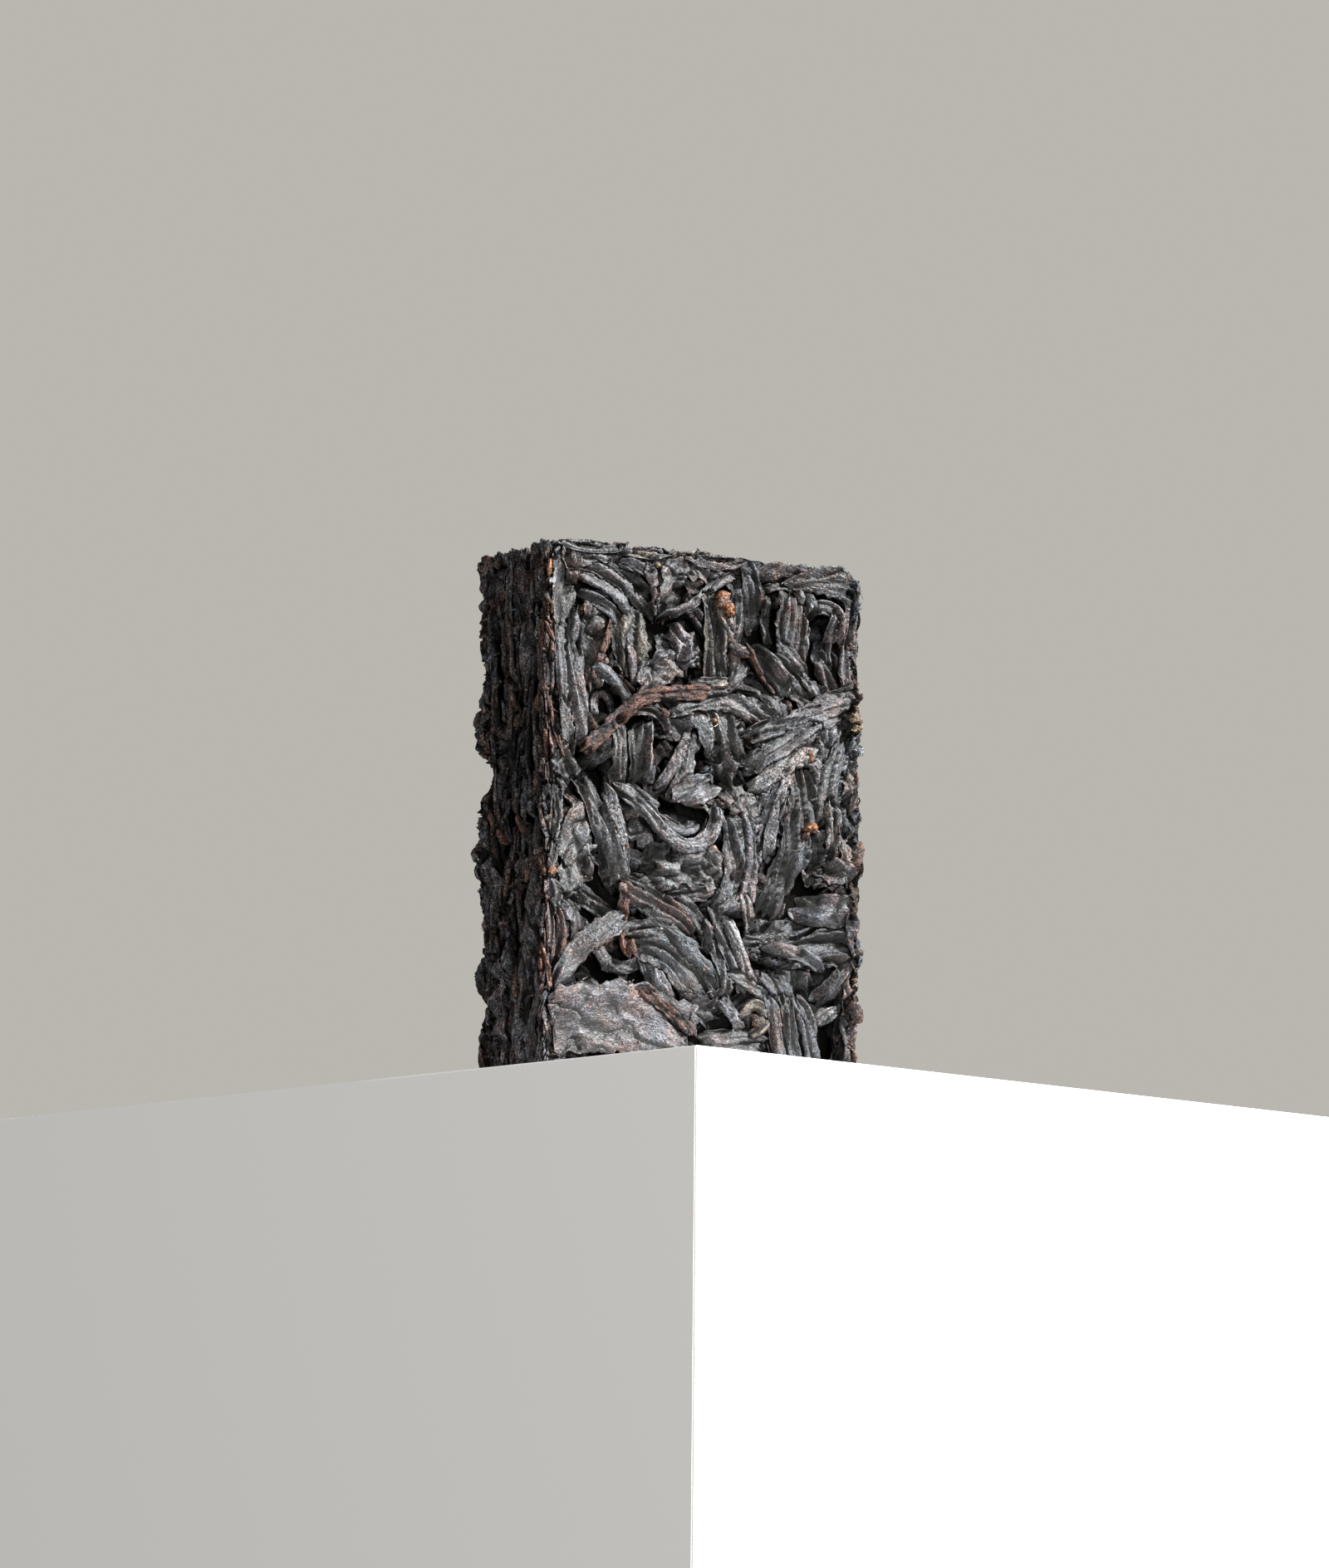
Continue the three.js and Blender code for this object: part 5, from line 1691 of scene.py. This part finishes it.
@dataclass(frozen=True)
class Studio:
    """A pale room with a slab for its floor, soft light from the right, and the camera, below the slab's top.

    Lengths are in millimetres and angles in degrees.
    """

    slab: float = 150.0
    slab_height: float = 70.0
    slab_edge: float = 0.12
    near_corner: tuple[float, float] = (-16.26, -34.25)
    slab_turn: float = 14.9
    slab_white: int = 0xE8E8EA
    room: int = 0xE9E5DD
    room_light: float = 0.6
    lamps: tuple[Lamp, ...] = (
        Lamp("key", (0.34, -0.31, 0.38), 0.08, 14.2, (0.978, 1.0, 0.995)),
        Lamp("fill", (-0.08, -0.55, 0.2), 0.3, 1.8, (0.985, 1.0, 0.99)),
    )
    camera_place: tuple[float, float, float] = (-405.7, -738.4, -89.3)
    yaw: float = -28.75
    pitch: float = -7.83
    roll: float = 0.49
    focal_pixels: float = 12000.0
    image: tuple[int, int] = (1600, 1888)

    def build(self) -> None:
        """Makes the floor, the lights, the room's light and the camera."""
        self.floor()
        self.camera()
        for lamp in self.lamps:
            lamp.build()
        world = bpy.data.worlds.new("pale_room")
        world.use_nodes = True
        g = Graph(world.node_tree)
        sky = g.node("ShaderNodeBackground", Color=colour(self.room), Strength=self.room_light)
        g.node("ShaderNodeOutputWorld", Surface=sky)
        bpy.context.scene.world = world
        bpy.context.scene.view_settings.view_transform = "Standard"

    def floor(self) -> None:
        """The floor, a slab with one corner towards the camera."""
        form = bmesh.new()
        bmesh.ops.create_cube(form, size=1)
        turn = math.radians(self.slab_turn)
        along = np.array([math.cos(turn), math.sin(turn)])
        beside = np.array([-along[1], along[0]])
        for vert in form.verts:
            x, y, z = vert.co
            flat = np.array(self.near_corner) + self.slab * ((x + 0.5) * along + (y + 0.5) * beside)
            vert.co = (flat[0] * MM, flat[1] * MM, (z - 0.5) * self.slab_height * MM)
        bmesh.ops.bevel(form, geom=form.edges, offset=self.slab_edge * MM, segments=2, affect="EDGES")
        mesh = bpy.data.meshes.new("floor_slab")
        form.to_mesh(mesh)
        form.free()
        slab = bpy.data.objects.new("floor_slab", mesh)
        bpy.context.scene.collection.objects.link(slab)
        material = bpy.data.materials.new("matt_white_board")
        material.use_nodes = True
        g = Graph(material.node_tree)
        shader = g.node("ShaderNodeBsdfPrincipled", Base_Color=colour(self.slab_white), Roughness=0.6)
        g.node("ShaderNodeOutputMaterial", Surface=shader)
        mesh.materials.append(material)

    def camera(self) -> None:
        """The camera, at the photograph's viewing angle."""
        a, e, r = (math.radians(angle) for angle in (self.yaw, self.pitch, self.roll))
        back = np.array([math.sin(a) * math.cos(e), -math.cos(a) * math.cos(e), math.sin(e)])
        right = np.cross([0, 0, 1], back)
        right /= np.linalg.norm(right)
        up = np.cross(back, right)
        across = math.cos(r) * right + math.sin(r) * up
        upward = -math.sin(r) * right + math.cos(r) * up
        data = bpy.data.cameras.new("camera")
        data.sensor_width = 36
        data.lens = self.focal_pixels * data.sensor_width / max(self.image)
        data.clip_end = 10
        camera = bpy.data.objects.new("camera", data)
        bpy.context.scene.collection.objects.link(camera)
        turn = np.eye(4)
        turn[:3, 0], turn[:3, 1], turn[:3, 2] = across, upward, back
        turn[:3, 3] = np.array(self.camera_place) * MM
        camera.matrix_world = Matrix(turn.tolist())
        bpy.context.scene.camera = camera


def finishes() -> dict[str, bpy.types.Material]:
    """Makes the finishes, by the piece that wears them."""
    leaf = LeafFinish("oxidised_tea_leaf").build()
    # Torn edges of layers: matt, with the fibres raised.
    side = LeafFinish(
        "tea_leaf_edge_on", (0.6, 0.9), 0.2, 0.12, grit=(0.05, 2.8), fibrous=(0.4, 1.8), gloss=0.2, warm=0.5,
        pale=0.96,
    ).build()
    # Bark of stems: rough and reddish where its outer skin has flaked off.
    bark = LeafFinish("tea_stem_bark", (0.5, 0.8), 0.2, 0.13, 0.5, gloss=0.3).build()
    # Leaf crushed under others: matt, and darker as painted shade for the gaps that it lies in.
    buried_in_shade = LeafFinish("crushed_tea_leaf_in_shade", (0.6, 0.9), 0.3, gloss=0.1, pale=0.5).build()
    # Crushed tea deep inside, in the dark: its colour is wholly painted shade, near black.
    core = LeafFinish("crushed_tea", (0.7, 0.9), 0.0, gloss=0.03, sunk=1.0, plain=0x1C1B1C).build()
    fronts = ("front_rolled_leaves", "front_pleated_leaves", "front_broad_leaves")
    return {
        **{name: leaf for name in ("back_leaves", *fronts)},
        **{name: buried_in_shade for name in ("deep_leaves", "front_under_leaves")},
        **{name: side for name in ("side_layers", "right_layers", "end_leaves")},
        **{name: bark for name in ("stems", "buds")},
        "crushed_core": core,
        "leaf_flakes": LeafFinish("broken_tea_leaf", (0.4, 0.7), 0.5, plain=0x353436).build(),
        "bark_crumbs": LeafFinish("crumbled_bark", (0.6, 0.8), 0.1, plain=0x5C3C2A).build(),
        "leaf_hairs": LeafFinish("plant_fibre", (0.4, 0.6), 0.0, plain=0x9A8878).build(),
        "side_fibres": LeafFinish("dark_plant_fibre", (0.5, 0.7), 0.0, plain=0x4E4038).build(),
    }


def main() -> None:
    """Builds the brick and the studio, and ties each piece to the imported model."""
    logging.basicConfig(level=logging.INFO, format="%(name)s: %(message)s")
    Studio().build()
    brick = Brick()
    parts: dict[str, MeshParts] = {}
    brick.walls(parts)
    brick.ends(parts)
    Crumbs().lay(brick.mould, parts.setdefault("buds", MeshParts()))
    dress = finishes()
    edges = ("side_layers", "right_layers", "end_leaves")
    built = [brick.core()]
    built += [part.build(name) for name, part in parts.items()]
    for piece in built:
        piece.data.materials.append(dress[piece.name])
    for scatter in (
        Scatter("leaf_flakes", dress["leaf_flakes"], 95, (0.2, 0.15, 0.05), (0.7, 0.4, 0.14), 5),
        Scatter("bark_crumbs", dress["bark_crumbs"], 14, (0.12, 0.1, 0.08), (0.4, 0.26, 0.2), 8),
        Scatter("leaf_hairs", dress["leaf_hairs"], 3, (0.3, 0.3, 0.2), (0.7, 0.5, 0.4), 9, True),
        Scatter("side_fibres", dress["side_fibres"], 60, (0.3, 0.3, 0.2), (0.9, 0.8, 0.5), 11, True, edges),
    ):
        built.append(scatter.build(parts))
    for piece in built:
        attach(piece, "root")
        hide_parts(NODE)
        LOG.info("%s: %d faces", piece.name, len(piece.data.polygons))


if __name__ == "__main__":
    main()
